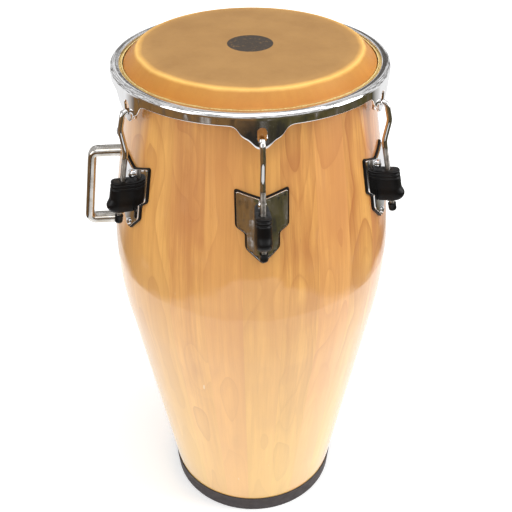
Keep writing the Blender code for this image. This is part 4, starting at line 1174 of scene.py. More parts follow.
def beside_leg(lug, out, across, down):
    """A point out from the leg, across it and down along it, in metres, at one lug."""
    radius = LEG_RADIUS + out * math.cos(LEAN) + down * math.sin(LEAN)
    height = LEG_HEIGHT + out * math.sin(LEAN) - down * math.cos(LEAN)
    side = Vector((math.cos(lug), math.sin(lug), 0.0)) * across
    return around(radius, lug, height) + side


def turned_on_leg(name, profile, lug, steps=32, capped=False, closed=False, crease=35.0):
    """Turn an outline of (radius, distance down the leg) points round the leg."""
    rings = []
    for radius, down in profile:
        angles = [2 * math.pi * k / steps for k in range(steps)]
        rings.append([beside_leg(lug, radius * math.cos(a), radius * math.sin(a), down) for a in angles])
    return skin_rings(name, rings, joined_ends=closed, capped=capped, crease=crease)


print(f"leg {LEG_RADIUS:.4f} m from the axis at height {LEG_HEIGHT:.4f}")

# %% [markdown]
# ## The tension rods
#
# A rod is a bar that is bent four times: the hook through the ear, the shoulder, the bow that clears the
# wood, and the knee above the leg. A Blender curve with a round bevel would make the plain part. Here
# the path is worked out in code, because the thread below needs a say in every ring of points. The path
# is a line through a few corners, and each corner is rounded to the radius of a bending tool.

# %% The rod's path
ROD_RADIUS = 0.0036
THREAD_PITCH = 0.00125
THREAD_DEPTH = 0.00022
HOOK_RADIUS = RIM_RADIUS - RIM_WALL - 0.0019 - ROD_RADIUS
HOOK_HEIGHT = HEAD_HEIGHT - 0.0465
SHOULDER_RADIUS = RIM_RADIUS + 0.0025 + ROD_RADIUS
BOW_RADIUS = SHOULDER_RADIUS + 0.0058
BOW_HEIGHT = HEAD_HEIGHT - 0.068
KNEE_HEIGHT = HEAD_HEIGHT - 0.098
KNEE_RADIUS = LEG_RADIUS - (KNEE_HEIGHT - LEG_HEIGHT) * math.tan(LEAN)
LEG_END = 0.0558


def rounded_path(corners, bends, turn_step=9.0):
    """A line through corners, each rounded to a bend radius."""
    points = [Vector(corners[0])]
    for before, corner, after, bend in zip(corners, corners[1:], corners[2:], bends):
        corner = Vector(corner)
        a = (Vector(before) - corner).normalized()
        b = (Vector(after) - corner).normalized()
        half = a.angle(b) / 2
        centre = corner + (a + b).normalized() * bend / math.sin(half)
        start = corner + a * bend / math.tan(half) - centre
        end = corner + b * bend / math.tan(half) - centre
        turn = start.angle(end)
        count = max(3, math.ceil(math.degrees(turn) / turn_step))
        for k in range(count + 1):
            first = math.sin((1 - k / count) * turn) / math.sin(turn)
            second = math.sin(k / count * turn) / math.sin(turn)
            points.append(centre + first * start + second * end)
    points.append(Vector(corners[-1]))
    return points


def leg_station(down):
    """(radius, height) of a point on the leg's centre line."""
    return (LEG_RADIUS + down * math.sin(LEAN), LEG_HEIGHT - down * math.cos(LEAN))


rod_corners = [
    (HOOK_RADIUS, HOOK_HEIGHT - 0.011),
    (HOOK_RADIUS, HOOK_HEIGHT),
    (SHOULDER_RADIUS, HOOK_HEIGHT),
    (BOW_RADIUS, BOW_HEIGHT),
    (KNEE_RADIUS, KNEE_HEIGHT),
    leg_station(LEG_END),
]
rod_line = rounded_path(rod_corners, [0.005, 0.0072, 0.0216, 0.0288])
print("points on the rod's line:", len(rod_line))

# %% [markdown]
# The rod's lower part is threaded. Its stations are a sixth of the pitch apart, and each point of a ring
# is moved in and out with its angle, so that a real helix runs down the bar. The part inside the bracket
# is hidden and stays plain.

# %% Add fine stations where the rod is threaded
THREAD_START = -0.031
THREAD_STEP = THREAD_PITCH / 6
knee_end = rod_line[-2]
leg_start = (LEG_HEIGHT - knee_end.y) / math.cos(LEAN)
straight = THREAD_START - leg_start
plain = [Vector(leg_station(leg_start + straight * share)) for share in (0.3, 0.6, 0.9)]
threaded = [Vector(leg_station(down)) for down in np.arange(THREAD_START, 0.004, THREAD_STEP)]
lower = [Vector(leg_station(down)) for down in np.arange(0.038, LEG_END, THREAD_STEP)]
stations = rod_line[:-1] + plain + threaded + [Vector(leg_station(0.02))] + lower
thread_begins = len(rod_line) - 1 + len(plain)
print("rod stations:", len(stations), "of which plain:", thread_begins)

# %% [markdown]
# Each station becomes a ring of points square to the line. On the thread a ring isn't round: its radius
# follows a saw of ridges that turns once per pitch, and it fades in over the first few millimetres.

# %% Rings round the rod's line


def rod_rings(lug, sides=16):
    """Rings round the rod's line; on the thread they are pushed out and in along a helix."""
    rings = []
    outward = Vector((math.sin(lug), -math.cos(lug), 0.0))
    side = Vector((math.cos(lug), math.sin(lug), 0.0))
    for k, station in enumerate(stations):
        before = stations[max(k - 1, 0)]
        after = stations[min(k + 1, len(stations) - 1)]
        along = (after - before).normalized()
        normal = outward * -along.y + Vector((0.0, 0.0, along.x))
        middle = around(station.x, lug, station.y)
        ring = []
        down = (LEG_HEIGHT - station.y) / math.cos(LEAN)
        fade = min(1.0, max(0.0, (down - THREAD_START) / 0.003)) if k >= thread_begins else 0.0
        for j in range(sides):
            angle = 2 * math.pi * j / sides
            phase = (down / THREAD_PITCH + j / sides) % 1.0
            ridge = abs(2 * phase - 1) - 0.5
            radius = ROD_RADIUS - fade * THREAD_DEPTH * (0.5 - ridge)
            ring.append(middle + normal * radius * math.cos(angle) + side * radius * math.sin(angle))
        rings.append(ring)
    return rings


def rounded_ends(rings, inset=0.0007):
    """Shrink extra rings at both ends, so that the bar's ends are chamfered and closed."""
    def shrunk(ring, share, shift):
        middle = sum(ring, Vector()) / len(ring)
        return [middle + (point - middle) * share + shift for point in ring]

    first = (sum(rings[0], Vector()) - sum(rings[1], Vector())).normalized() * inset
    last = (sum(rings[-1], Vector()) - sum(rings[-2], Vector())).normalized() * inset
    return [shrunk(rings[0], 0.75, first)] + rings + [shrunk(rings[-1], 0.75, last)]


print("rings on a rod with its ends:", len(rounded_ends(rod_rings(LUGS[0]))))

# %% [markdown]
# The bar is plated, and its thread is full of old oil. So the finish asks how high a point is: above the
# thread's start it is nearly clean, and below it the steel is darker, patchy and rougher.

# %% The rods' finish, and the six rods
rod_steel = Finish("rod_steel", (0.80, 0.79, 0.78, 1.0), 0.07, 1.0)
x, y, z = rod_steel.split(rod_steel.place)
thread_top = LEG_HEIGHT - THREAD_START * math.cos(LEAN)
on_thread = rod_steel.span(z, thread_top + 0.001, thread_top - 0.001)
oil = rod_steel.noise(rod_steel.place, 160.0, 4.0, 0.6)
grimy = rod_steel.mix(rod_steel.span(oil, 0.35, 0.7), (0.50, 0.47, 0.43, 1), (0.22, 0.20, 0.18, 1))
rod_steel.feed("Base Color", rod_steel.mix(on_thread, (0.72, 0.71, 0.70, 1), grimy))
rod_steel.feed("Roughness", rod_steel.span(on_thread, 0.0, 1.0, 0.07, 0.28))
rod_steel.bump(oil, 0.00004)

for number, lug in enumerate(LUGS, start=1):
    rod = skin_rings(f"hooked_rod_{number}", rounded_ends(rod_rings(lug)), capped=True, crease=65.0)
    wear(rod, rod_steel, f"rod_{number}", "chrome", f"tension_rod_{number}")
print("points on one rod:", len(rod.data.vertices))

# %% [markdown]
# ## End caps
#
# A soft cap covers the sharp end of each rod. It is a turned piece: a bead at its mouth, a plain wall
# and a domed end.

# %% Caps
CAP_TOP = 0.0485
CAP_BOTTOM = CAP_TOP + 0.012
CAP_RADIUS = ROD_RADIUS + 0.0003 + 0.0016
CAP_INSIDE = ROD_RADIUS + 0.0002
CAP_WALL_RADIUS = CAP_RADIUS - 0.0002
CAP_DOME = 0.004
cap_outline = [(CAP_INSIDE, CAP_BOTTOM - 0.003), (CAP_INSIDE, CAP_TOP + 0.0004)]
cap_outline += [(ROD_RADIUS + 0.0005, CAP_TOP), (CAP_WALL_RADIUS, CAP_TOP), (CAP_RADIUS, CAP_TOP + 0.0004)]
cap_outline += [(CAP_RADIUS, CAP_TOP + 0.0014), (CAP_WALL_RADIUS, CAP_TOP + 0.0018)]
cap_outline += [(CAP_WALL_RADIUS, CAP_BOTTOM - CAP_DOME)]
for k in range(9):
    angle = math.radians(90.0 * k / 8)
    rise = CAP_DOME * math.sin(angle)
    cap_outline.append((CAP_WALL_RADIUS * math.cos(angle), CAP_BOTTOM - CAP_DOME + rise))
for number, lug in enumerate(LUGS, start=1):
    cap = turned_on_leg(f"soft_cap_{number}", cap_outline, lug)
    wear(cap, cap_rubber, f"rod_{number}", "cap_rubber", f"rod_end_cap_{number}")
print(f"cap {CAP_RADIUS * 2000:.1f} mm wide")

# %% [markdown]
# ## Nuts
#
# Inside the rubber cover a hexagonal nut turns on the thread. A real nut is a hexagon whose corners are
# turned off at thirty degrees, so each ring of the nut takes the smaller of two radii: the hexagon's and
# the cone's.

# %% Nuts
NUT_TOP = 0.0345
NUT_HEIGHT = 0.009
NUT_FLATS = 0.013


def hexagon(angle, across_flats):
    """The radius of a hexagon in a direction."""
    return across_flats / 2 / math.cos(math.remainder(angle, math.radians(60.0)))


def nut_rings(place, height, across_flats, bore, sides=72):
    """Rings of a chamfered hexagon nut; place(out, across, along) gives a point of it."""
    angles = [2 * math.pi * k / sides for k in range(sides)]
    rings = []
    for along in (0.0, 0.0003, 0.0007, 0.0011, height - 0.0011, height - 0.0007, height - 0.0003, height):
        from_end = min(along, height - along)
        cone = across_flats / 2 * 0.97 + from_end * 1.73
        ring = []
        for angle in angles:
            radius = min(hexagon(angle, across_flats), cone)
            ring.append(place(radius * math.cos(angle), radius * math.sin(angle), along))
        rings.append(ring)
    for along in (height, 0.0):
        rings.append([place(bore * math.cos(a), bore * math.sin(a), along) for a in angles])
    return rings


NUT_BORE = ROD_RADIUS + 0.0002
for number, lug in enumerate(LUGS, start=1):
    def on_leg(out, across, along):
        return beside_leg(lug, out, across, NUT_TOP + along)

    rings = nut_rings(on_leg, NUT_HEIGHT, NUT_FLATS, NUT_BORE)
    nut = skin_rings(f"hexagon_nut_{number}", rings, joined_ends=True, crease=20.0)
    wear(nut, chrome, f"nut_{number}", "chrome", f"tuning_nut_{number}")
print("nuts:", len(LUGS))

# %% [markdown]
# ## The side plates and their gaskets
#
# A chrome shield is bent round the barrel at each lug, on a rubber gasket that stands out a little all
# round. Both have the same outline: a notched top, straight sides, a step in to a waist and a point. So
# one function gives the corners, grown by a margin for the gasket, and another rounds them.

# %% The shield's outline
PLATE_TOP = LEG_HEIGHT + 0.023
PLATE_NOTCH = 0.0115
PLATE_HALF_WIDTH = 0.031
PLATE_WAIST = 0.0195
PLATE_SIDE = 0.045
PLATE_STEP = 0.0085
WAIST_LENGTH = 0.020
POINT_LENGTH = 0.020
GASKET_MARGIN = 0.002


def shield(margin):
    """Corners of the shield, each with the radius that rounds it: (across, height, radius)."""
    step = PLATE_TOP - PLATE_SIDE
    waist = step - PLATE_STEP
    point = waist - WAIST_LENGTH
    left = [
        (-PLATE_WAIST, point, 0.003),
        (-PLATE_WAIST, waist, 0.0025),
        (-PLATE_HALF_WIDTH, step, 0.003),
        (-PLATE_HALF_WIDTH, PLATE_TOP, 0.004),
    ]
    tip = [(0.0, point - POINT_LENGTH, 0.0035)]
    notch = [(0.0, PLATE_TOP - PLATE_NOTCH, 0.0025)]
    corners = tip + left + notch + [(-x, h, r) for x, h, r in reversed(left)]
    flat = [Vector((x, h)) for x, h, _ in corners]
    grown = []
    for k, corner in enumerate(flat):
        a = (corner - flat[k - 1]).normalized()
        b = (flat[(k + 1) % len(flat)] - corner).normalized()
        out = Vector((-a.y - b.y, a.x + b.x)) / (1.0 + a.dot(b))
        lower = 0.4 * margin if corner.y > PLATE_TOP - 0.02 else 0.0
        grown.append(corner + out * margin - Vector((0.0, lower)))
    return [(point, corners[k][2] + margin * 0.6) for k, point in enumerate(grown)]


def rounded_outline(corners, steps=6):
    """The outline with every corner rounded."""
    points = []
    for k, (corner, radius) in enumerate(corners):
        before = corners[k - 1][0]
        after = corners[(k + 1) % len(corners)][0]
        points += soft_corner(before, corner, after, radius, steps)
    return points


print("points round a shield:", len(rounded_outline(shield(0.0))))

# %% [markdown]
# A flat sheet is easy to draw and to bevel, and hard to bend afterwards unless it has enough faces. So
# the outline is extruded and bevelled while it is flat, then cut into narrow strips both ways, and then
# every vertex is moved onto the barrel. The Simple Deform modifier bends too, but only round one fixed
# radius, and a barrel's radius changes with the height.

# %% Extrude, bevel, slice and bend
STRIP_WIDTH = 0.0017
STRIP_HEIGHT = 0.006


def slice_sheet(work, place, normal):
    """Cut every face of a mesh along a plane, and keep both sides."""
    geometry = list(work.verts) + list(work.edges) + list(work.faces)
    bmesh.ops.bisect_plane(work, geom=geometry, dist=1e-6, plane_co=place, plane_no=normal)


def is_front_edge(edge, start):
    """True for an edge that lies on the front face of a flat sheet."""
    first, second = (vertex.co.z for vertex in edge.verts)
    return abs(first - second) < 1e-7 and first > start + 1e-6


def bent_sheet(name, outline, start, thickness, bevel, lug):
    """A plate of an outline, bent so that it follows the wood from start to start + thickness."""
    work = bmesh.new()
    front = [work.verts.new((x, h, start + thickness)) for x, h in outline]
    work.faces.new(front)
    made = bmesh.ops.extrude_face_region(work, geom=list(work.faces))
    for vertex in [g for g in made["geom"] if isinstance(g, bmesh.types.BMVert)]:
        vertex.co.z = start
    bmesh.ops.recalc_face_normals(work, faces=work.faces)
    sharp = [edge for edge in work.edges if is_front_edge(edge, start)]
    bmesh.ops.bevel(
        work, geom=sharp, offset=bevel, segments=3, profile=0.5, affect="EDGES", clamp_overlap=True
    )
    heights = [h for _, h in outline]
    for x in np.arange(-0.034, 0.0345, STRIP_WIDTH):
        slice_sheet(work, (x, 0, 0), (1, 0, 0))
    for height in np.arange(min(heights), max(heights), STRIP_HEIGHT):
        slice_sheet(work, (0, height, 0), (0, 1, 0))
    for vertex in work.verts:
        x, height, depth = vertex.co
        radius = stave_radius(height) + depth
        vertex.co = around(radius, lug + math.asin(x / radius), height)
    mesh = bpy.data.meshes.new(name)
    work.to_mesh(mesh)
    work.free()
    return finish_mesh(name, mesh, 30.0)


print("strips across a shield:", len(np.arange(-0.034, 0.0345, STRIP_WIDTH)))

# %% [markdown]
# The gasket lies on the wood and the shield on the gasket, so each starts where the other ends. Rubber
# gets a soft edge and plate a narrow one.

# %% Six gaskets and six shields
GASKET_OUT = 0.0030
PLATE_OUT = 0.0051
PLATE_THICKNESS = PLATE_OUT - GASKET_OUT
GASKET_BEVEL = 0.0009
PLATE_BEVEL = 0.00025
seat_outline = rounded_outline(shield(GASKET_MARGIN))
plate_outline = rounded_outline(shield(0.0))
for number, lug in enumerate(LUGS, start=1):
    gasket = bent_sheet(f"rubber_seat_{number}", seat_outline, 0.0001, GASKET_OUT, GASKET_BEVEL, lug)
    wear(gasket, gasket_rubber, "drum", "gasket_rubber", f"plate_gasket_{number}")
    name = f"chrome_shield_{number}"
    plate = bent_sheet(name, plate_outline, GASKET_OUT, PLATE_THICKNESS, PLATE_BEVEL, lug)
    wear(plate, chrome, "drum", "chrome", f"side_plate_{number}")
print("faces on one shield:", len(plate.data.polygons))

# %% [markdown]
# ## The brackets
#
# Inside each rubber cover a steel channel is welded to the shield. The rod runs through both of its
# flanges, and the nut pushes up against the lower one. It shows only from below, so it is a plain bent
# section with soft edges and two holes.

# %% Brackets inside the covers
COVER_WALL = 0.002
BRACKET_TOP = COVER_WALL + 0.0003
BRACKET_LOW = NUT_TOP - 0.0003
BRACKET_PLATE = 0.003
BRACKET_REACH = 0.0075
BRACKET_HALF = 0.0063
BRACKET_BACK = -(LEG_RADIUS - stave_radius(LEG_HEIGHT)) + 0.0045


def bracket(name, lug):
    """The welded channel of one lug."""
    web = BRACKET_BACK + BRACKET_PLATE
    line = [
        (BRACKET_BACK, BRACKET_TOP),
        (BRACKET_REACH, BRACKET_TOP),
        (BRACKET_REACH, BRACKET_TOP + BRACKET_PLATE),
        (web, BRACKET_TOP + BRACKET_PLATE),
        (web, BRACKET_LOW - BRACKET_PLATE),
        (BRACKET_REACH, BRACKET_LOW - BRACKET_PLATE),
        (BRACKET_REACH, BRACKET_LOW),
        (BRACKET_BACK, BRACKET_LOW),
    ]
    sides = (-BRACKET_HALF, BRACKET_HALF)
    rings = [[beside_leg(lug, out, across, down) for out, down in line] for across in sides]
    piece = skin_rings(name, rings, capped=True)
    hole = turned_on_leg(f"{name}_hole", [(0.0040, -0.01), (0.0040, 0.06)], lug, capped=True)
    cut(piece, [hole], 30.0)
    edges = piece.modifiers.new("soft_edges", "BEVEL")
    edges.width = 0.0004
    edges.segments = 2
    edges.limit_method = "ANGLE"
    return piece


for number, lug in enumerate(LUGS, start=1):
    wear(bracket(f"welded_bracket_{number}", lug), steel, "drum", "chrome", f"side_plate_{number}")
print(f"bracket {(BRACKET_LOW - BRACKET_TOP) * 1000:.1f} mm high")

# %% [markdown]
# ## The rubber covers
#
# Each cover is a boot: round in front, flat-sided towards the plate, hollow and open at the bottom, with
# a hole on top for the rod. Near the top run two grooves, and near the bottom it flares. Three small
# functions hold that: the section across the leg, the depth of the grooves and the flare.

# %% The boot's section, grooves and flare
COVER_LENGTH = 0.041
COVER_FRONT = 0.0155
COVER_HALF = 0.0098
COVER_BACK = BRACKET_BACK - 0.0002
COVER_HOLE = ROD_RADIUS + 0.0007
COVER_LIP = 0.0018
FLARE = 0.0032
FLARE_START = 0.0235
FLARE_PEAK = 0.0325


def boot_section(front, half, count=72):
    """One U-shaped outline round the leg: (out, across), flat at the back."""
    start = min(COVER_FRONT - COVER_HALF, front - half)
    points = []
    back_steps, side_steps = 10, 12
    arc_steps = count - back_steps - 2 * side_steps
    for k in range(side_steps):
        points.append((COVER_BACK + (start - COVER_BACK) * k / side_steps, -half))
    for k in range(arc_steps):
        angle = math.radians(-90.0 + 180.0 * k / arc_steps)
        points.append((start + (front - start) * math.cos(angle), half * math.sin(angle)))
    for k in range(side_steps):
        points.append((start + (COVER_BACK - start) * k / side_steps, half))
    for k in range(back_steps):
        points.append((COVER_BACK, half - 2 * half * k / back_steps))
    return points


def groove_depth(down):
    """How deep the two grooves are at a distance down the cover."""
    depth = 0.0
    for middle in (0.0045, 0.0095):
        depth += 0.0010 * math.exp(-(((down - middle) / 0.0008) ** 2))
    return depth


def flare(down):
    """How far the cover's front stands out near its lower end."""
    if down < FLARE_START:
        return 0.0
    if down < FLARE_PEAK:
        share = (down - FLARE_START) / (FLARE_PEAK - FLARE_START)
        return FLARE * share * share * (3 - 2 * share)
    share = (down - FLARE_PEAK) / (COVER_LENGTH - FLARE_PEAK)
    return (FLARE + 0.004) * math.sqrt(max(0.0, 1 - share * share)) - 0.004


print("points in one section of the boot:", len(boot_section(COVER_FRONT, COVER_HALF)))

# %% [markdown]
# The boot is one loft that starts at the edge of the hole, runs out over the top, down the outside,
# round the lower edge and back up the inside, so that it has a real wall.

# %% Build the covers


def cover(name, lug):
    """The boot of one lug."""
    outer = boot_section(COVER_FRONT, COVER_HALF)
    angles = [math.atan2(across, out) for out, across in outer]
    rows = []
    for radius, down in ((COVER_HOLE, COVER_WALL), (COVER_HOLE, 0.0006), (COVER_HOLE + 0.0005, 0.0)):
        rows.append([(radius * math.cos(a), radius * math.sin(a), down) for a in angles])
    top = boot_section(COVER_FRONT - COVER_LIP, COVER_HALF - COVER_LIP)
    inner_ring = rows[-1]
    for share in (0.35, 0.7):
        steps = [Vector(i[:2]).lerp(Vector(t), share) for i, t in zip(inner_ring, top)]
        rows.append([(step.x, step.y, -0.0002) for step in steps])
    for k in range(7):
        angle = math.radians(90.0 - 90.0 * k / 6)
        inset = COVER_LIP * (1 - math.cos(angle))
        down = COVER_LIP * (1 - math.sin(angle))
        rows.append([(o, a, down) for o, a in boot_section(COVER_FRONT - inset, COVER_HALF - inset)])
    for down in np.arange(COVER_LIP + 0.0006, COVER_LENGTH - 0.0008, 0.0005):
        depth = groove_depth(down)
        front = COVER_FRONT - depth + flare(down)
        half = COVER_HALF - depth + 0.15 * max(0.0, flare(down))
        rows.append([(o, a, down) for o, a in boot_section(front, half)])
    last = rows[-1]
    for inset, rise in ((0.0003, 0.0004), (0.0008, 0.0001), (0.0014, 0.0)):
        shrink = 1 - inset / COVER_HALF
        rows.append([(o - inset * (o > 0), a * shrink, COVER_LENGTH - rise) for o, a, _ in last])
    hollow = boot_section(COVER_FRONT - COVER_WALL - 0.0035, COVER_HALF - COVER_WALL)
    rows.append([(max(o, COVER_BACK + 0.0001), a, COVER_LENGTH - 0.0003) for o, a in hollow])
    rows.append([(max(o, COVER_BACK + 0.0001), a, COVER_WALL + 0.001) for o, a in hollow])
    rows.append([(i[0] * 1.05, i[1] * 1.05, COVER_WALL) for i in inner_ring])
    rings = [[beside_leg(lug, out, across, down) for out, across, down in row] for row in rows]
    return skin_rings(name, rings, joined_ends=True, crease=50.0)


for number, lug in enumerate(LUGS, start=1):
    wear(cover(f"rubber_boot_{number}", lug), cover_rubber, "drum", "cover_rubber", f"lug_cover_{number}")
print("covers:", len(LUGS))

# %% [markdown]
# ## Bolts and screws
#
# Two fasteners go through each shield, the gasket and the wood, and are held inside the shell by a
# washer and a nut. All of them stand square to the wood at their own height, so they get a small frame
# of their own: out of the wood, sideways and up along it.

# %% A frame that stands square to the wood


def square_to_wood(lug, height):
    """The point on the wood and three directions: out of it, sideways and up along it."""
    lean = stave_lean(height)
    outward = Vector((math.sin(lug) * math.cos(lean), -math.cos(lug) * math.cos(lean), math.sin(lean)))
    side = Vector((math.cos(lug), math.sin(lug), 0.0))
    return around(stave_radius(height), lug, height), outward, side, side.cross(outward) * -1


def turned_on_wood(lug, height, profile, steps=32):
    """Rings of a turned shape whose axis stands square to the wood: (radius, distance out)."""
    point, outward, side, up = square_to_wood(lug, height)
    angles = [2 * math.pi * k / steps for k in range(steps)]
    return [
        [point + outward * out + side * radius * math.cos(a) + up * radius * math.sin(a) for a in angles]
        for radius, out in profile
    ]


def joined(name, pieces, crease=30.0):
    """Several meshes as one object."""
    work = bmesh.new()
    for piece in pieces:
        work.from_mesh(piece.data)
        bpy.data.objects.remove(piece, do_unlink=True)
    mesh = bpy.data.meshes.new(name)
    work.to_mesh(mesh)
    work.free()
    return finish_mesh(name, mesh, crease)


print("at the belly the wood leans", round(math.degrees(stave_lean(BELLY_HEIGHT)), 2), "degrees")

# %% [markdown]
# Inside the shell each bolt has the same washer, nut and bolt end. They only show from below, but a
# drum without them couldn't hold its lugs.

# %% Washer, nut and bolt end
WASHER_THICKNESS = 0.0015
WASHER_RADIUS = 0.008
WASHER_HOLE = 0.0031
WASHER_SOFT = 0.0002
WASHER_LINE = [
    (WASHER_HOLE, 0.0),
    (WASHER_RADIUS - WASHER_SOFT, 0.0),
    (WASHER_RADIUS, WASHER_SOFT),
    (WASHER_RADIUS, WASHER_THICKNESS - WASHER_SOFT),
    (WASHER_RADIUS - WASHER_SOFT, WASHER_THICKNESS),
    (WASHER_HOLE, WASHER_THICKNESS),
]


def inner_fixing(lug, height, sides=48):
    """The washer and nut inside the shell."""
    washer_out = -STAVE_THICKNESS - 0.0008
    washer = [(radius, washer_out - deep) for radius, deep in WASHER_LINE]
    pieces = [skin_rings("washer", turned_on_wood(lug, height, washer), joined_ends=True)]
    point, outward, side, up = square_to_wood(lug, height)
    start = washer_out - WASHER_THICKNESS

    def place(a, b, along):
        return point + outward * (start - along) + side * a + up * b

    pieces.append(skin_rings("nut", nut_rings(place, 0.005, 0.010, 0.0030, sides), joined_ends=True))
    end = start - 0.0058
    shank = [(0.0, end), (0.0022, end), (0.0030, end + 0.0008), (0.0030, 0.004), (0.0, 0.004)]
    pieces.append(skin_rings("shank", turned_on_wood(lug, height, shank, 16)))
    return pieces


print("washer points in section:", len(WASHER_LINE))

# %% [markdown]
# The upper fastener has a plain domed head, close above the cover, and the lower one a lower head with a
# cross recess, at the shield's point. The recess is cut by two crossed wedges that narrow downwards, as
# a screwdriver's tip does.

# %% Build the fasteners


def domed_head(radius, rise, seat):
    """The outline of a pan head: a short wall, a soft shoulder and a low dome."""
    wall = seat + rise * 0.45
    dome = []
    for degrees in range(0, 91, 9):
        angle = math.radians(degrees)
        dome.append((radius * math.cos(angle), wall + (rise - rise * 0.45) * math.sin(angle)))
    return [(0.0, seat), (radius - 0.0003, seat), (radius, seat + 0.0003)] + dome


def recess(lug, height, face, depth, reach, width):
    """Two crossed wedges that cut a cross recess into a head."""
    point, outward, side, up = square_to_wood(lug, height)
    wedges = []
    levels = ((face - depth, reach * 0.35, width * 0.6), (face + 0.001, reach * 1.25, width))
    for first, second in ((side, up), (up, side)):
        rings = []
        for out, long, wide in levels:
            corners = ((-long, -wide), (long, -wide), (long, wide), (-long, wide))
            rings.append([point + outward * out + first * a + second * b for a, b in corners])
        wedges.append(skin_rings("recess", rings, capped=True))
    return wedges


BOLT_HEIGHT = LEG_HEIGHT + 0.005
SCREW_HEIGHT = PLATE_TOP - PLATE_SIDE - PLATE_STEP - WAIST_LENGTH - POINT_LENGTH + 0.0085
for number, lug in enumerate(LUGS, start=1):
    head = skin_rings("head", turned_on_wood(lug, BOLT_HEIGHT, domed_head(0.0054, 0.0048, PLATE_OUT)))
    upper = joined(f"upper_bolt_{number}", [head] + inner_fixing(lug, BOLT_HEIGHT))
    wear(upper, chrome, "drum", "chrome", f"plate_bolt_{number}")
    head = skin_rings("head", turned_on_wood(lug, SCREW_HEIGHT, domed_head(0.0045, 0.0027, PLATE_OUT)))
    head = cut(head, recess(lug, SCREW_HEIGHT, PLATE_OUT + 0.0027, 0.0018, 0.0026, 0.00055), 30.0)
    lower_screw = joined(f"lower_screw_{number}", [head] + inner_fixing(lug, SCREW_HEIGHT))
    wear(lower_screw, chrome, "drum", "chrome", f"plate_screw_{number}")
print("fasteners:", 2 * len(LUGS))

# %% [markdown]
# ## The carrying handle
#
# The handle is a plated casting: two legs and a grip that leans with the wood. Its path is a line
# through four corners, two of them rounded. Where the path is straight it gets extra points, so that
# the reflections on the long faces stay calm.

# %% The handle's path
HANDLE_SIDE = math.radians(-90.0)
HANDLE_TOP = HEAD_HEIGHT - 0.1445
HANDLE_BOTTOM = HANDLE_TOP - 0.1065
HANDLE_STANDOFF = 0.0375
HANDLE_HALF_WIDTH = 0.010
HANDLE_HALF_THICKNESS = 0.00625
HANDLE_BENDS = [0.0080, 0.0080]

grip_corners = [
    (stave_radius(HANDLE_TOP) - 0.001, HANDLE_TOP),
    (stave_radius(HANDLE_TOP) + HANDLE_STANDOFF, HANDLE_TOP),
    (stave_radius(HANDLE_BOTTOM) + HANDLE_STANDOFF, HANDLE_BOTTOM),
    (stave_radius(HANDLE_BOTTOM) - 0.001, HANDLE_BOTTOM),
]
grip_line = rounded_path(grip_corners, HANDLE_BENDS, 7.0)
first_leg = [grip_line[0].lerp(grip_line[1], k / 10) for k in range(10)]
last_leg = [grip_line[-2].lerp(grip_line[-1], k / 10) for k in range(1, 11)]
middle = len(grip_line) // 2
grip_run = [grip_line[middle - 1].lerp(grip_line[middle], k / 20) for k in range(1, 20)]
grip_line = first_leg + grip_line[1:middle] + grip_run + grip_line[middle:-1] + last_leg
print("stations along the handle:", len(grip_line))

# %% [markdown]
# The section is like a slice of bread: nearly flat with round corners on one side and rounder on the
# other. A superellipse gives both with one number each: 2 is an ellipse, and a larger power comes closer
# to a rectangle. Hands have dulled the plating, so its finish is darker and rougher than the rim's.

# %% Build the handle
handle_sideways = Vector((math.cos(HANDLE_SIDE), math.sin(HANDLE_SIDE), 0.0))


def soft_power(value, power):
    """A signed value raised so that a circle's points spread towards a rectangle's."""
    return math.copysign(abs(value) ** (2 / power), value)


def handle_section(wide, thick, count=40):
    """A superellipse that is fuller on its inner side: (across, out)."""
    points = []
    for k in range(count):
        angle = 2 * math.pi * k / count
        c, s = math.cos(angle), math.sin(angle)
        points.append((wide * soft_power(c, 3.2), thick * soft_power(s, 2.4 if s > 0 else 4.0)))
    return points


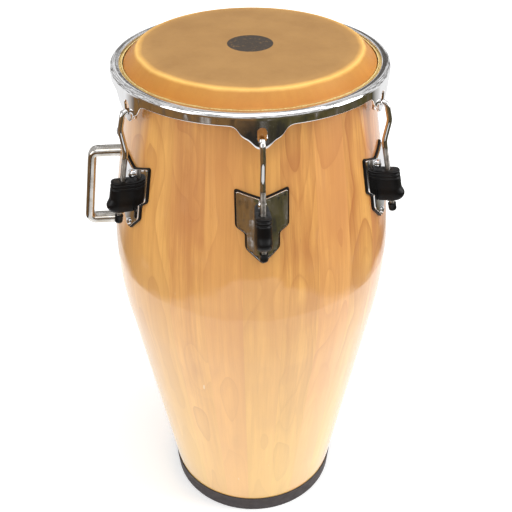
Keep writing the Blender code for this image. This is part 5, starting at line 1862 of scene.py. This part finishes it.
rings = []
for k, station in enumerate(grip_line):
    before = grip_line[max(k - 1, 0)]
    after = grip_line[min(k + 1, len(grip_line) - 1)]
    along = (after - before).normalized()
    ring = []
    for across, out in handle_section(HANDLE_HALF_WIDTH, HANDLE_HALF_THICKNESS):
        spot = station + Vector((along.y, -along.x)) * -out
        ring.append(around(spot.x, HANDLE_SIDE, spot.y) + handle_sideways * across)
    rings.append(ring)
handle = skin_rings("carrying_handle", rings, capped=True, crease=45.0)
worn_chrome = Finish("worn_chrome", (0.62, 0.60, 0.57, 1.0), 0.10, 1.0)
touched = worn_chrome.noise(worn_chrome.place, 70.0, 4.0, 0.6)
dulled = worn_chrome.span(touched, 0.4, 0.7)
worn_chrome.feed("Base Color", worn_chrome.mix(dulled, (0.66, 0.64, 0.61, 1), (0.46, 0.42, 0.36, 1)))
worn_chrome.feed("Roughness", worn_chrome.span(touched, 0.35, 0.75, 0.07, 0.2))
worn_chrome.bump(worn_chrome.noise(worn_chrome.place, 60.0, 2.0), 0.0001)
wear(handle, worn_chrome, "drum", "chrome", "handle")
print("points on the handle:", len(handle.data.vertices))

# %% [markdown]
# The handle is held from inside the shell: a screw with a wide washer goes through the wood into each
# leg. They are only seen by someone who looks up into the drum.

# %% Handle screws inside the shell
SCREW_LINE = [(0.0, 0.0050), (0.0020, 0.0050), (0.0030, 0.0), (0.0030, -0.026), (0.0, -0.026)]
handle_outward = Vector((math.sin(HANDLE_SIDE), -math.cos(HANDLE_SIDE), 0.0))
turns = [2 * math.pi * k / 36 for k in range(36)]
for end, height in (("top", HANDLE_TOP), ("bottom", HANDLE_BOTTOM)):
    inner = stave_radius(height) - STAVE_THICKNESS - 0.0022
    spot = around(inner, HANDLE_SIDE, height)

    def on_screw(a, b, along):
        return spot - handle_outward * along + handle_sideways * a + Vector((0.0, 0.0, b))

    def turned_on_screw(line):
        return [[on_screw(r * math.cos(t), r * math.sin(t), along) for t in turns] for r, along in line]

    def above_washer(a, b, along):
        return on_screw(a, b, along + WASHER_THICKNESS)

    washer = skin_rings("washer", turned_on_screw(WASHER_LINE), joined_ends=True)
    head = skin_rings("head", nut_rings(above_washer, 0.004, 0.0094, 0.0012), joined_ends=True)
    shank = skin_rings("shank", turned_on_screw(SCREW_LINE))
    fixing = joined(f"handle_fixing_{end}", [washer, head, shank])
    wear(fixing, steel, "drum", "screw_steel", f"handle_screw_{end}")
print("the handle is held by", fixing.name, "and its twin")

# %% [markdown]
# ## The size
#
# The fine model must not be bigger than the plain one, and both boxes are printed.

# %% Print both boxes
fine_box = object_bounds()
sizes = {"cad": [list(corner) for corner in CAD_BOX], "visual": [list(corner) for corner in fine_box]}
print("plain box", sizes["cad"])
print("fine box", sizes["visual"])
